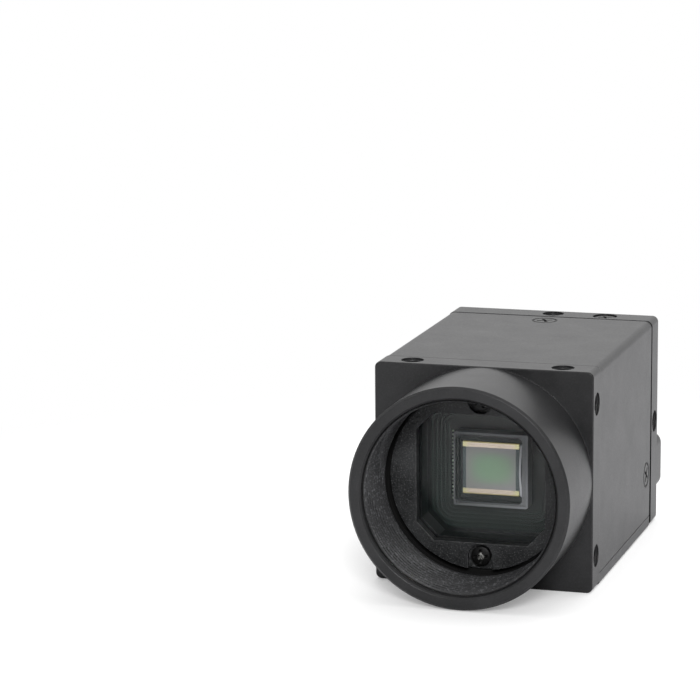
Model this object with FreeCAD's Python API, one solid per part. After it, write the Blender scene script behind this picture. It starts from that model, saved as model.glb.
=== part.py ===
import FreeCAD, Part
import math
import os
from FreeCAD import Vector

# Machine vision camera with a threaded lens mount, a network jack and a round power connector.
# Frame: +X is to the right of someone who looks into the lens mount, +Y runs from the lens
# mount to the connectors, +Z is up. The origin is at the bottom centre of the whole camera.
# All lengths are in millimetres.

# Lens mount: a plain bore at the thread's outside radius, and the standard focal distance
LENS_BORE_RADIUS = 12.7
FOCAL_DISTANCE = 17.526
BARREL_WALL = 1.7
BARREL_CHAMFER = 0.3
RELIEF_STEP = 0.3
RELIEF_LENGTH = 2.2
BARREL_RADIUS = LENS_BORE_RADIUS + BARREL_WALL
RELIEF_RADIUS = LENS_BORE_RADIUS + RELIEF_STEP

# Square body, just wide enough for the barrel: front plate, folded cover and rear plate
BARREL_INSET = 0.1
PLATE_CORNER = 0.8
EDGE_BREAK = 0.12
FRONT_PLATE = 4.2
REAR_PLATE = 4.1
COVER_WALL = 1.2
COVER_DROP = 0.15
BASE_LIP = 0.4
BASE_ROUNDING = 0.45
COVER_BEND = 1.0
COVER_INSIDE_BEND = 0.4
FRONT_SEAM = 0.08
REAR_SEAM = 0.2
BASE_SEAM = 0.12
LOCATING_RIM_WALL = 0.8
LOCATING_RIM_HEIGHT = 1.0
FIT_CLEARANCE = 0.05
OVERRUN = 1.0
SAME_PLACE = 1e-4
BODY_SIDE = 2 * (BARREL_RADIUS + BARREL_INSET)

# Filter frame, its screws and the glass
FRAME_CLEARANCE = 0.7
FRAME_THICKNESS = 1.4
FRAME_SCREW_INSET = 1.75
FRAME_RECESS_WIDTH = 3.3
FRAME_RECESS_DEPTH = 0.8
RECESS_WEB = 0.15
WINDOW_EXTRA_WIDTH = 0.2
WINDOW_CHAMFER = 2.3
FRAME_RADIUS = LENS_BORE_RADIUS - FRAME_CLEARANCE
FRAME_SCREW_OFFSET = FRAME_RADIUS - FRAME_SCREW_INSET
WINDOW_HEIGHT = 2 * (FRAME_SCREW_OFFSET - FRAME_RECESS_WIDTH / 2 - RECESS_WEB)
WINDOW_WIDTH = WINDOW_HEIGHT + WINDOW_EXTRA_WIDTH
GLASS_OVERLAP = 0.35
GLASS_THICKNESS = 1.0

# Small machine screws of the frame and the boards
SMALL_THREAD_RADIUS = 0.8
SMALL_HEAD_RADIUS = 1.3
SMALL_HEAD_HEIGHT = 0.75
SMALL_SCREW_LENGTH = 2.6
SMALL_HOLE_DEPTH = 2.8

# Countersunk screws of the covers
COVER_THREAD_RADIUS = 1.0
COVER_HEAD_RADIUS = 1.8
COVER_HEAD_DEPTH = 0.8
COVER_SCREW_LENGTH = 3.65
COVER_SCREW_INSET = 3.0
SIDE_SCREW_MARGIN = 8.0
BASE_SCREW_MARGIN = 3.8
SIDE_SCREW_DROP = BODY_SIDE / 2 - SIDE_SCREW_MARGIN
BASE_SCREW_SPREAD = BODY_SIDE / 2 - BASE_SCREW_MARGIN
LUG_WIDTH = 4.8
LUG_HEIGHT = 3.2
LUG_MARGIN = 2.4
CROSS_WIDTH = 0.45
CROSS_SHARE = 0.62
CROSS_DEPTH = 0.5
PAN_TOP_SHARE = 0.7
PAN_EDGE_SHARE = 0.6
SCREW_SIDES = 16
SMALL_SIDES = 8
SPACER_SIDES = 6

# Tapped mounting holes in the two plates
MOUNT_HOLE_RADIUS = 1.5
FRONT_HOLE_MARGIN = 4.5
FRONT_HOLE_SPACING = BODY_SIDE - 2 * FRONT_HOLE_MARGIN
FRONT_HOLE_INSET = 2.1
FRONT_HOLE_DEPTH = 2.8
REAR_HOLE_INSET = 2.0
REAR_HOLE_DEPTH = 3.5

# Image sensor: ceramic carrier, chip and glass lid
PACKAGE_WIDTH = 10.0
PACKAGE_HEIGHT = 9.8
PACKAGE_CORNER = 0.3
PACKAGE_RIM = 0.3
PACKAGE_FLOOR = 0.7
PACKAGE_RISE = 0.95
CAVITY_WIDTH = 8.5
CAVITY_HEIGHT = 8.6
CAVITY_CORNER = 0.6
CHIP_SHIFT = -0.2
DIE_WIDTH = 7.55
DIE_HEIGHT = 6.95
DIE_THICKNESS = 0.5
LID_THICKNESS = 0.5

# Stack of circuit boards on spacers
BOARD_GAP = 0.6
BOARD_SIDE = BODY_SIDE - 2 * (COVER_WALL + BOARD_GAP)
BOARD_CORNER = 0.8
SENSOR_BOARD = 1.2
PROCESSING_BOARD = 1.2
INTERFACE_BOARD = 1.6
STACK_MARGIN = 1.8
STACK_OFFSET = BOARD_SIDE / 2 - STACK_MARGIN
SPACER_RADIUS = 1.6
FRONT_SPACER = 4.6
REAR_SPACER = 12.874
STUD_RADIUS = 0.75
STUD_GRIP = 1.6
NOTCH_CLEARANCE = 0.3
SEAL_LENGTH = 1.826
SEAL_WALL = 1.1
SEAL_CORNER = 2.4

# Connector pairs between the boards
LINK_LENGTH = 13.0
LINK_WIDTH = 3.4
LINK_MARGIN = 2.3
LINK_OFFSET = BOARD_SIDE / 2 - LINK_MARGIN
LINK_TONGUE_WIDTH = 1.2
LINK_TONGUE_MARGIN = 0.9
LINK_TONGUE_DEPTH = 1.9
LINK_CLEARANCE = 0.1

# Chips, coil and the path of heat to the cover
PROCESSOR_SIDE = 13.0
PROCESSOR_THICKNESS = 1.4
PAD_THICKNESS = 1.0
SPREADER_WIDTH = 14.0
SPREADER_SHEET = 1.0
SPREADER_GAP = 2.5
SPREADER_BEND = 1.5
MEMORY_WIDTH = 8.0
MEMORY_HEIGHT = 11.0
MEMORY_THICKNESS = 1.1
FLASH_WIDTH = 5.0
FLASH_HEIGHT = 6.0
FLASH_THICKNESS = 0.9
FLASH_GAP = 1.2
TRANSFORMER_WIDTH = 12.7
TRANSFORMER_HEIGHT = 9.4
TRANSFORMER_THICKNESS = 5.6
NETWORK_CHIP_SIDE = 7.0
NETWORK_CHIP_THICKNESS = 0.9
COIL_RADIUS = 2.9
COIL_THICKNESS = 3.0
CHIP_GAP = 0.3

# Network jack and the boss of the rear plate round it
JACK_WIDTH = 15.9
JACK_HEIGHT = 12.5
JACK_DEPTH = 16.0
JACK_CORNER = 0.6
JACK_SHEET = 0.25
JACK_RIM_DROP = 0.1
JACK_BODY_DROP = 0.45
JACK_CLEARANCE = 0.1
PLUG_WIDTH = 11.8
PLUG_HEIGHT = 6.6
JACK_BACK_WALL = 2.55
PLUG_FLOOR = 1.95
LATCH_WIDTH = 6.1
LATCH_RISE = 1.4
LATCH_SLOT_WIDTH = 3.3
LATCH_SLOT_RISE = 1.0
PLUG_DEPTH = JACK_DEPTH - JACK_BODY_DROP - JACK_BACK_WALL
FINGER_WIDTH = 1.9
FINGER_SHEET = 0.2
FINGER_LENGTH = 4.4
FINGER_LEAN = 0.5
FINGER_CLEARANCE = 0.12
SIDE_FINGER_Z = 7.1
FLOOR_FINGER_X = 4.85
CONTACT_COUNT = 8
CONTACT_PITCH = 1.02
CONTACT_WIDTH = 0.36
CONTACT_THICKNESS = 0.3
CONTACT_SLOT_WIDTH = 0.56
CONTACT_INSET = 0.9
CONTACT_BEND = 0.6
CONTACT_FOLDS = 4
CONTACT_TOP_DROP = 2.6
CONTACT_REACH = 7.0
CONTACT_LEAN_DEG = 14.0
CONTACT_TAIL = 0.6
BOSS_SIDE_WALL = 1.05
BOSS_END_WALL = 0.85
BOSS_MARGIN = 0.9
BOSS_RISE = 2.9
BOSS_CORNER = 1.1
EAR_SETBACK = 3.2
EAR_CORNER = 1.5
EAR_FILLET = 2.0
EAR_HOLE_SPACING = 20.5
EAR_HOLE_RADIUS = 1.0
EAR_HOLE_DEPTH = 6.0
BOSS_WIDTH = JACK_WIDTH + 2 * BOSS_SIDE_WALL
BOSS_HEIGHT = JACK_HEIGHT + 2 * BOSS_END_WALL
EAR_HEIGHT = BOSS_HEIGHT - 2 * EAR_SETBACK
JACK_CENTRE_Z = BOSS_MARGIN + BOSS_HEIGHT / 2

# Round power connector
CONNECTOR_SIDE_GAP = 1.4
CONNECTOR_TOP_GAP = 0.5
SHELL_RADIUS = 4.0
SHELL_BORE_RADIUS = 3.3
SHELL_CHAMFER = 0.3
CONNECTOR_REACH = 5.9
SHELL_INSIDE = 7.6
RING_RADIUS = 6.2
RING_HEIGHT = 0.95
CONNECTOR_X = BODY_SIDE / 2 - CONNECTOR_SIDE_GAP - RING_RADIUS
CONNECTOR_Z = BODY_SIDE - CONNECTOR_TOP_GAP - RING_RADIUS
FLANGE_RADIUS = 5.4
FLANGE_THICKNESS = 0.5
FLANGE_DROP = 0.1
INSERT_LENGTH = 8.0
PIN_COUNT = 5
PIN_CIRCLE = 1.75
PIN_RADIUS = 0.3
PIN_STAND = 3.0
LOCK_SCREW_RADIUS = 1.5
LOCK_SCREW_MARGIN = 7.1
LOCK_SCREW_INSET = 2.1
LOCK_SCREW_DROP = 0.4
LOCK_RECESS_RADIUS = 1.7
LOCK_RECESS_DEPTH = 0.5

# Stations along the camera, from the rim of the barrel to the connector's tip. The sensor lies
# at the focal distance, the boards follow it, and the jack on the last board carries the rear.
AXIS_Z = BODY_SIDE / 2
TO_SENSOR_BOARD = FOCAL_DISTANCE + DIE_THICKNESS + PACKAGE_FLOOR
TO_JACK = (TO_SENSOR_BOARD + SENSOR_BOARD + FRONT_SPACER + PROCESSING_BOARD + REAR_SPACER
           + INTERFACE_BOARD)
TO_REAR_FACE = TO_JACK + JACK_DEPTH + JACK_RIM_DROP - BOSS_RISE
RIM_Y = -(TO_REAR_FACE + CONNECTOR_REACH) / 2
SENSOR_Y = RIM_Y + FOCAL_DISTANCE
SENSOR_BOARD_Y = RIM_Y + TO_SENSOR_BOARD
SENSOR_BOARD_BACK_Y = SENSOR_BOARD_Y + SENSOR_BOARD
PROCESSING_Y = SENSOR_BOARD_BACK_Y + FRONT_SPACER
PROCESSING_BACK_Y = PROCESSING_Y + PROCESSING_BOARD
INTERFACE_Y = PROCESSING_BACK_Y + REAR_SPACER
INTERFACE_BACK_Y = INTERFACE_Y + INTERFACE_BOARD
JACK_RIM_Y = INTERFACE_BACK_Y + JACK_DEPTH
BOSS_Y = JACK_RIM_Y + JACK_RIM_DROP
REAR_FACE_Y = BOSS_Y - BOSS_RISE
REAR_INSIDE_Y = REAR_FACE_Y - REAR_PLATE
RING_Y = REAR_FACE_Y + RING_HEIGHT
TIP_Y = REAR_FACE_Y + CONNECTOR_REACH
PLATE_BACK_Y = SENSOR_BOARD_Y - SEAL_LENGTH
PLATE_FRONT_Y = PLATE_BACK_Y - FRONT_PLATE
SHELF_Y = PLATE_FRONT_Y
THREAD_END_Y = SHELF_Y - RELIEF_LENGTH
COVER_HALF = BODY_SIDE / 2 - COVER_DROP
INSIDE_HALF = BODY_SIDE / 2 - COVER_WALL

# The four sides of the body, as a turn from the +X side
RIGHT_SIDE = 0
TOP_SIDE = 90
LEFT_SIDE = 180
BASE_SIDE = 270

# Each screw of the covers: side, place across the side, and the plate that it screws into
TO_FRONT_PLATE = -1
TO_REAR_PLATE = 1
COVER_SCREWS = [
    (RIGHT_SIDE, -SIDE_SCREW_DROP, TO_REAR_PLATE),
    (TOP_SIDE, 0.0, TO_REAR_PLATE),
    (LEFT_SIDE, SIDE_SCREW_DROP, TO_REAR_PLATE),
    (LEFT_SIDE, -SIDE_SCREW_DROP, TO_FRONT_PLATE),
]
BASE_SCREWS = [
    (BASE_SIDE, 0.0, TO_FRONT_PLATE),
    (BASE_SIDE, -BASE_SCREW_SPREAD, TO_REAR_PLATE),
    (BASE_SIDE, BASE_SCREW_SPREAD, TO_REAR_PLATE),
]


# Simple solids

def block(x0, x1, y0, y1, z0, z1):
    """Box between two corners."""
    return Part.makeBox(x1 - x0, y1 - y0, z1 - z0, Vector(x0, y0, z0))


def rod(radius, start, end):
    """Round bar from one point to another."""
    return Part.makeCylinder(radius, (end - start).Length, start, end - start)


def prism(radius, sides, y0, y1, x=0.0, z=AXIS_Z, end_radius=None):
    """Bar along Y with flat sides and its corners at a radius, for small pieces that repeat."""
    def ring(size, y):
        steps = [2 * math.pi * index / sides for index in range(sides)]
        return [Vector(x + size * math.cos(step), y, z + size * math.sin(step)) for step in steps]

    def flat(points):
        return Part.Face(Part.makePolygon(points + points[:1]))

    near = ring(radius, y0)
    if end_radius is None:
        return flat(near).extrude(Vector(0, y1 - y0, 0))
    far = ring(end_radius, y1)
    sides_between = [flat([near[i - 1], near[i], far[i], far[i - 1]]) for i in range(sides)]
    tapered = Part.Solid(Part.makeShell([flat(near), flat(far)] + sides_between))
    if tapered.Volume < 0:
        tapered.reverse()
    return tapered


def turned(profile, x=0.0, z=AXIS_Z):
    """Solid of revolution about the line along Y through (x, z), from a profile of (radius, y)."""
    points = [Vector(x + radius, y, z) for radius, y in profile]
    face = Part.Face(Part.makePolygon(points + points[:1]))
    return face.revolve(Vector(x, 0, z), Vector(0, 1, 0), 360)


def outline(corners, y):
    """Closed outline at y with straight sides, where each corner (x, z, radius) is an arc."""
    points = [Vector(x, y, z) for x, z, radius in corners]
    stretches = []
    for index, corner in enumerate(points):
        radius = corners[index][2]
        back = (points[index - 1] - corner).normalize()
        ahead = (points[(index + 1) % len(points)] - corner).normalize()
        half_angle = back.getAngle(ahead) / 2
        reach = radius / math.tan(half_angle)
        inward = (back + ahead).normalize()
        middle = corner + inward * (radius / math.sin(half_angle) - radius)
        stretches.append((corner + back * reach, middle, corner + ahead * reach))
    edges = []
    for index, (start, middle, end) in enumerate(stretches):
        if corners[index][2] > 0:
            edges.append(Part.Arc(start, middle, end).toShape())
        following = stretches[(index + 1) % len(stretches)][0]
        if end.distanceToPoint(following) > SAME_PLACE:
            edges.append(Part.LineSegment(end, following).toShape())
    return Part.Wire(edges)


def slab(corners, y0, y1):
    """Plate with the given outline between two stations along Y."""
    return Part.Face(outline(corners, y0)).extrude(Vector(0, y1 - y0, 0))


def rectangle(width, height, radius=0.0, x=0.0, z=AXIS_Z):
    """Corners of an upright rectangle with rounded corners."""
    half_w = width / 2
    half_h = height / 2
    signs = [(-1, -1), (1, -1), (1, 1), (-1, 1)]
    return [(x + sx * half_w, z + sz * half_h, radius) for sx, sz in signs]


def clipped(width, height, chamfer):
    """Corners of an upright rectangle whose corners are cut off."""
    half_w = width / 2
    half_h = height / 2
    points = [
        (half_w - chamfer, half_h), (half_w, half_h - chamfer),
        (half_w, chamfer - half_h), (half_w - chamfer, -half_h),
        (chamfer - half_w, -half_h), (-half_w, chamfer - half_h),
        (-half_w, half_h - chamfer), (chamfer - half_w, half_h),
    ]
    return [(x, AXIS_Z + z, 0.0) for x, z in points]


def on_side(shape, side):
    """Turn a shape that was made at the +X side to another side of the body."""
    turned_shape = shape.copy()
    turned_shape.rotate(Vector(0, 0, AXIS_Z), Vector(0, -1, 0), side)
    return turned_shape


def fused(first, others):
    """One solid from several that touch or overlap."""
    return first.fuse(others).removeSplitter()


def broken_edges(plate, y):
    """Plate with a small chamfer along the outer edge of its face at y."""
    edges = [
        edge for edge in plate.Edges
        if abs(edge.BoundBox.YMin - y) + abs(edge.BoundBox.YMax - y) < SAME_PLACE]
    return plate.makeChamfer(EDGE_BREAK, edges)


# Screws and the holes for them

def cross_recess(head_radius, depth):
    """Cross-shaped recess at the origin, open towards -Y."""
    arm = head_radius * CROSS_SHARE
    half = CROSS_WIDTH / 2
    flat = block(-arm, arm, 0, depth, -half, half)
    upright = block(-half, half, 0, depth, -arm, arm)
    return flat.fuse(upright)


def pan_screw(head_radius, head_height, shank_radius, length, sides):
    """Pan-head screw along +Y, with the underside of its head at the origin."""
    edge = -head_height * PAN_EDGE_SHARE
    top = head_radius * PAN_TOP_SHARE
    head = prism(head_radius, sides, edge, 0, 0, 0)
    crown = prism(top, sides, -head_height, edge, 0, 0, head_radius)
    shank = prism(shank_radius, sides, 0, length, 0, 0)
    recess = cross_recess(head_radius, CROSS_DEPTH)
    recess.translate(Vector(0, -head_height, 0))
    return fused(head, [crown, shank]).cut(recess)


def countersunk(clearance, length, face_y):
    """Countersunk shape along +Y from face_y, for the screw itself or, with a clearance, its hole."""
    head = COVER_HEAD_RADIUS + clearance
    shank = COVER_THREAD_RADIUS + clearance
    shape = prism(head, SCREW_SIDES, 0, COVER_HEAD_DEPTH, 0, 0, shank)
    parts = [prism(shank, SCREW_SIDES, COVER_HEAD_DEPTH, length, 0, 0)]
    if face_y < 0:
        parts.append(prism(head, SCREW_SIDES, face_y, 0, 0, 0))
    return fused(shape, parts)


def to_right_side(shape):
    """Turn a shape that was made along +Y, so that it enters the cover at the +X side."""
    shape.rotate(Vector(0, 0, 0), Vector(0, 0, 1), 90)
    shape.translate(Vector(COVER_HALF, 0, AXIS_Z))
    return shape


def cover_screw():
    """Countersunk screw at the +X side, with its head flush with the cover."""
    screw = countersunk(0, COVER_SCREW_LENGTH, 0)
    return to_right_side(screw.cut(cross_recess(COVER_HEAD_RADIUS, CROSS_DEPTH)))


def cover_screw_hole():
    """Room for a countersunk screw at the +X side: its cone, its shank and a little more."""
    return to_right_side(countersunk(FIT_CLEARANCE, COVER_SCREW_LENGTH + 2 * FIT_CLEARANCE, -OVERRUN))


def at_screw(shape, across, plate):
    """Move a shape made at the +X side to one screw's place, before it is turned to its side."""
    inset = COVER_SCREW_INSET
    y = REAR_INSIDE_Y - inset if plate == TO_REAR_PLATE else PLATE_BACK_Y + inset
    moved = shape.copy()
    moved.translate(Vector(0, y, across))
    return moved


def screw_holes(screws):
    """All the countersunk holes of a list of screws."""
    return [on_side(at_screw(cover_screw_hole(), across, plate), side) for side, across, plate in screws]


def screw_lug(plate):
    """Block behind the cover that a cover screw is driven into."""
    outer = INSIDE_HALF - FIT_CLEARANCE
    reach = COVER_SCREW_INSET + LUG_MARGIN
    if plate == TO_REAR_PLATE:
        y0 = REAR_INSIDE_Y - reach
        y1 = REAR_INSIDE_Y
    else:
        y0 = PLATE_BACK_Y
        y1 = PLATE_BACK_Y + reach
    half = LUG_WIDTH / 2
    return block(outer - LUG_HEIGHT, outer, y0, y1, AXIS_Z - half, AXIS_Z + half)


def plate_lugs(plate):
    """The lugs of one of the two plates."""
    lugs = []
    for side, across, screw_plate in COVER_SCREWS + BASE_SCREWS:
        if screw_plate == plate:
            lug = screw_lug(plate)
            lug.translate(Vector(0, 0, across))
            lugs.append(on_side(lug, side))
    return lugs


def lug_notches():
    """Room in the sensor board for the lugs that reach past it from the front plate."""
    notches = []
    outer = BODY_SIDE / 2
    inner = INSIDE_HALF - FIT_CLEARANCE - LUG_HEIGHT - NOTCH_CLEARANCE
    half = LUG_WIDTH / 2 + NOTCH_CLEARANCE
    y0 = SENSOR_BOARD_Y - OVERRUN
    y1 = SENSOR_BOARD_BACK_Y + OVERRUN
    for side, across, screw_plate in COVER_SCREWS + BASE_SCREWS:
        if screw_plate == TO_FRONT_PLATE:
            z = AXIS_Z + across
            notch = block(inner, outer, y0, y1, z - half, z + half)
            notches.append(on_side(notch, side))
    return notches


def mount_hole(y, across, depth):
    """Tapped mounting hole in the +X side."""
    outer = BODY_SIDE / 2
    z = AXIS_Z + across
    return rod(MOUNT_HOLE_RADIUS, Vector(outer + OVERRUN, y, z), Vector(outer - depth, y, z))


def locating_rim(y0, y1):
    """Low wall that stands inside the covers and lines them up with a plate."""
    outer = 2 * (INSIDE_HALF - FIT_CLEARANCE)
    inner = outer - 2 * LOCATING_RIM_WALL
    ring = slab(rectangle(outer, outer, 2 * COVER_INSIDE_BEND), y0, y1)
    return ring.cut(slab(rectangle(inner, inner, COVER_INSIDE_BEND), y0 - OVERRUN, y1 + OVERRUN))


def stack_places():
    """The four places of the spacers, as (x, z)."""
    signs = [(-1, -1), (1, -1), (1, 1), (-1, 1)]
    return [(sx * STACK_OFFSET, AXIS_Z + sz * STACK_OFFSET) for sx, sz in signs]


def stack_bars(radius, y0, y1):
    """Four flat-sided bars at the places of the spacers: posts, or holes to be cut."""
    return [prism(radius, SMALL_SIDES, y0, y1, x, z) for x, z in stack_places()]


# Front of the camera

def front_housing():
    """Front plate and lens barrel in one piece, with the shelf that carries the filter frame."""
    plate = slab(rectangle(BODY_SIDE, BODY_SIDE, PLATE_CORNER), PLATE_FRONT_Y, PLATE_BACK_Y)
    plate = broken_edges(plate, PLATE_FRONT_Y)
    barrel = turned([
        (0, RIM_Y), (BARREL_RADIUS - BARREL_CHAMFER, RIM_Y),
        (BARREL_RADIUS, RIM_Y + BARREL_CHAMFER), (BARREL_RADIUS, PLATE_BACK_Y), (0, PLATE_BACK_Y),
    ])
    posts = stack_bars(SPACER_RADIUS, PLATE_FRONT_Y + FRONT_PLATE / 2, SENSOR_BOARD_Y)
    rim = locating_rim(PLATE_BACK_Y, PLATE_BACK_Y + LOCATING_RIM_HEIGHT)
    housing = fused(plate, [barrel, rim] + posts + plate_lugs(TO_FRONT_PLATE))

    bore = turned([
        (0, RIM_Y - OVERRUN), (LENS_BORE_RADIUS + BARREL_CHAMFER + OVERRUN, RIM_Y - OVERRUN),
        (LENS_BORE_RADIUS, RIM_Y + BARREL_CHAMFER), (LENS_BORE_RADIUS, THREAD_END_Y),
        (RELIEF_RADIUS, THREAD_END_Y), (RELIEF_RADIUS, SHELF_Y), (0, SHELF_Y),
    ])
    window = slab(
        clipped(WINDOW_WIDTH, WINDOW_HEIGHT, WINDOW_CHAMFER), SHELF_Y - OVERRUN, PLATE_BACK_Y + OVERRUN)
    pocket_side = 2 * (GLASS_OVERLAP + FIT_CLEARANCE)
    pocket = slab(
        clipped(WINDOW_WIDTH + pocket_side, WINDOW_HEIGHT + pocket_side, WINDOW_CHAMFER),
        SHELF_Y - OVERRUN, SHELF_Y + GLASS_THICKNESS + FIT_CLEARANCE)
    frame_holes = frame_screw_holes(SHELF_Y - OVERRUN, SHELF_Y + SMALL_HOLE_DEPTH)
    post_holes = stack_bars(
        STUD_RADIUS + FIT_CLEARANCE, SENSOR_BOARD_Y - STUD_GRIP - FIT_CLEARANCE, SENSOR_BOARD_Y + OVERRUN)
    side_holes = [
        on_side(mount_hole(PLATE_FRONT_Y + FRONT_HOLE_INSET, across, FRONT_HOLE_DEPTH), side)
        for side in (RIGHT_SIDE, TOP_SIDE, LEFT_SIDE, BASE_SIDE)
        for across in (-FRONT_HOLE_SPACING / 2, FRONT_HOLE_SPACING / 2)]
    cover_holes = screw_holes([s for s in COVER_SCREWS + BASE_SCREWS if s[2] == TO_FRONT_PLATE])
    return housing.cut([bore, window, pocket] + frame_holes + post_holes + side_holes + cover_holes)


def frame_screw_holes(y0, y1):
    """The two holes of the filter frame's screws, above and below its window."""
    return [
        prism(SMALL_THREAD_RADIUS + FIT_CLEARANCE, SCREW_SIDES, y0, y1, 0, AXIS_Z + z)
        for z in (-FRAME_SCREW_OFFSET, FRAME_SCREW_OFFSET)]


def filter_frame():
    """Round frame with a clipped square window and a U-shaped recess for each screw."""
    front = SHELF_Y - FRAME_THICKNESS
    frame = turned([(0, front), (FRAME_RADIUS, front), (FRAME_RADIUS, SHELF_Y), (0, SHELF_Y)])
    window = clipped(WINDOW_WIDTH, WINDOW_HEIGHT, WINDOW_CHAMFER)
    cuts = [slab(window, front - OVERRUN, SHELF_Y + OVERRUN)]
    half = FRAME_RECESS_WIDTH / 2
    floor = front + FRAME_RECESS_DEPTH
    for sign in (-1, 1):
        z = AXIS_Z + sign * FRAME_SCREW_OFFSET
        z_rim = AXIS_Z + sign * (FRAME_RADIUS + OVERRUN)
        cuts.append(rod(half, Vector(0, front - OVERRUN, z), Vector(0, floor, z)))
        cuts.append(block(-half, half, front - OVERRUN, floor, min(z, z_rim), max(z, z_rim)))
    return frame.cut(cuts + frame_screw_holes(front, SHELF_Y + OVERRUN))


def filter_frame_screws():
    """Two pan-head screws in the recesses of the frame."""
    floor = SHELF_Y - FRAME_THICKNESS + FRAME_RECESS_DEPTH
    screws = []
    for sign in (-1, 1):
        screw = pan_screw(
            SMALL_HEAD_RADIUS, SMALL_HEAD_HEIGHT, SMALL_THREAD_RADIUS, SMALL_SCREW_LENGTH, SCREW_SIDES)
        screw.translate(Vector(0, floor, AXIS_Z + sign * FRAME_SCREW_OFFSET))
        screws.append(screw)
    return screws


def filter_glass():
    """Glass plate in the pocket of the shelf, held by the frame."""
    corners = clipped(WINDOW_WIDTH + 2 * GLASS_OVERLAP, WINDOW_HEIGHT + 2 * GLASS_OVERLAP, WINDOW_CHAMFER)
    return slab(corners, SHELF_Y + FIT_CLEARANCE, SHELF_Y + FIT_CLEARANCE + GLASS_THICKNESS)


def dust_seal():
    """Soft frame between the front plate and the sensor board."""
    width = WINDOW_WIDTH + 2 * SEAL_WALL
    height = WINDOW_HEIGHT + 2 * SEAL_WALL
    seal = slab(rectangle(width, height, SEAL_CORNER), PLATE_BACK_Y, SENSOR_BOARD_Y)
    inside = clipped(WINDOW_WIDTH, WINDOW_HEIGHT, WINDOW_CHAMFER)
    return seal.cut(slab(inside, PLATE_BACK_Y - OVERRUN, SENSOR_BOARD_Y + OVERRUN))


# Image sensor

def sensor_package():
    """Ceramic carrier with a cavity for the chip and a ledge for the lid."""
    front = SENSOR_Y - PACKAGE_RISE
    body = slab(rectangle(PACKAGE_WIDTH, PACKAGE_HEIGHT, PACKAGE_CORNER), front, SENSOR_BOARD_Y)
    ledge = slab(
        rectangle(PACKAGE_WIDTH - 2 * PACKAGE_RIM, PACKAGE_HEIGHT - 2 * PACKAGE_RIM),
        front - OVERRUN, front + LID_THICKNESS + FIT_CLEARANCE)
    cavity = slab(
        rectangle(CAVITY_WIDTH, CAVITY_HEIGHT, CAVITY_CORNER, CHIP_SHIFT), front - OVERRUN,
        SENSOR_Y + DIE_THICKNESS)
    return body.cut([ledge, cavity])


def sensor_die():
    """The light-sensitive chip, its surface at the focal distance from the rim."""
    return slab(rectangle(DIE_WIDTH, DIE_HEIGHT, x=CHIP_SHIFT), SENSOR_Y, SENSOR_Y + DIE_THICKNESS)


def sensor_cover_glass():
    """Glass lid on the ledge of the carrier."""
    front = SENSOR_Y - PACKAGE_RISE + FIT_CLEARANCE
    margin = 2 * (PACKAGE_RIM + FIT_CLEARANCE)
    return slab(rectangle(PACKAGE_WIDTH - margin, PACKAGE_HEIGHT - margin), front, front + LID_THICKNESS)


# Circuit boards and what stands on them

def board(y0, y1):
    """Bare square board with four holes for the spacers' studs."""
    bare = slab(rectangle(BOARD_SIDE, BOARD_SIDE, BOARD_CORNER), y0, y1)
    return bare.cut(stack_bars(STUD_RADIUS + FIT_CLEARANCE, y0 - OVERRUN, y1 + OVERRUN))


def sensor_board():
    """Front board, notched round the lugs of the front plate."""
    return board(SENSOR_BOARD_Y, SENSOR_BOARD_BACK_Y).cut(lug_notches())


def processing_board():
    """Middle board, which carries the processor and its memory."""
    return board(PROCESSING_Y, PROCESSING_BACK_Y)


def interface_board():
    """Rear board with holes for the contacts of the jack and the pins of the round connector."""
    y0 = INTERFACE_Y - OVERRUN
    y1 = INTERFACE_BACK_Y + OVERRUN
    half_w = CONTACT_WIDTH / 2 + FIT_CLEARANCE
    half_t = CONTACT_THICKNESS / 2 + FIT_CLEARANCE
    z = contact_z()
    tails = [block(x - half_w, x + half_w, y0, y1, z - half_t, z + half_t) for x in contact_places()]
    return board(INTERFACE_Y, INTERFACE_BACK_Y).cut(tails + pin_bars(PIN_RADIUS + FIT_CLEARANCE, y0, y1))


def spacers(y0, y1, board_thickness):
    """Four hexagonal spacers, each with a stud through the board in front and a threaded hole behind."""
    stud_y = y0 - board_thickness - STUD_GRIP
    hole_y = y1 - STUD_GRIP - PROCESSING_BOARD
    parts = []
    for x, z in stack_places():
        body = prism(SPACER_RADIUS, SPACER_SIDES, y0, y1, x, z)
        stud = prism(STUD_RADIUS, SMALL_SIDES, stud_y, y0, x, z)
        hole = prism(STUD_RADIUS + FIT_CLEARANCE, SMALL_SIDES, hole_y, y1 + OVERRUN, x, z)
        parts.append(fused(body, [stud]).cut(hole))
    return parts


def front_standoffs():
    """Spacers between the sensor board and the processing board."""
    return spacers(SENSOR_BOARD_BACK_Y, PROCESSING_Y, SENSOR_BOARD)


def rear_standoffs():
    """Spacers between the processing board and the interface board."""
    return spacers(PROCESSING_BACK_Y, INTERFACE_Y, PROCESSING_BOARD)


def board_screws():
    """Screws that close the stack at the interface board."""
    screws = []
    for x, z in stack_places():
        screw = pan_screw(
            SMALL_HEAD_RADIUS, SMALL_HEAD_HEIGHT, STUD_RADIUS, INTERFACE_BOARD + STUD_GRIP, SMALL_SIDES)
        screw.rotate(Vector(0, 0, 0), Vector(0, 0, 1), 180)
        screw.translate(Vector(x, INTERFACE_BACK_Y, z))
        screws.append(screw)
    return screws


def link_plug(x, y0, y1):
    """Half of a board connector, with a tongue that enters the other half."""
    length = LINK_LENGTH - 2 * LINK_TONGUE_MARGIN
    base = slab(rectangle(LINK_WIDTH, LINK_LENGTH, 0, x), y0, y1)
    tongue = slab(rectangle(LINK_TONGUE_WIDTH, length, 0, x), y1, y1 + LINK_TONGUE_DEPTH)
    return fused(base, [tongue])


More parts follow.
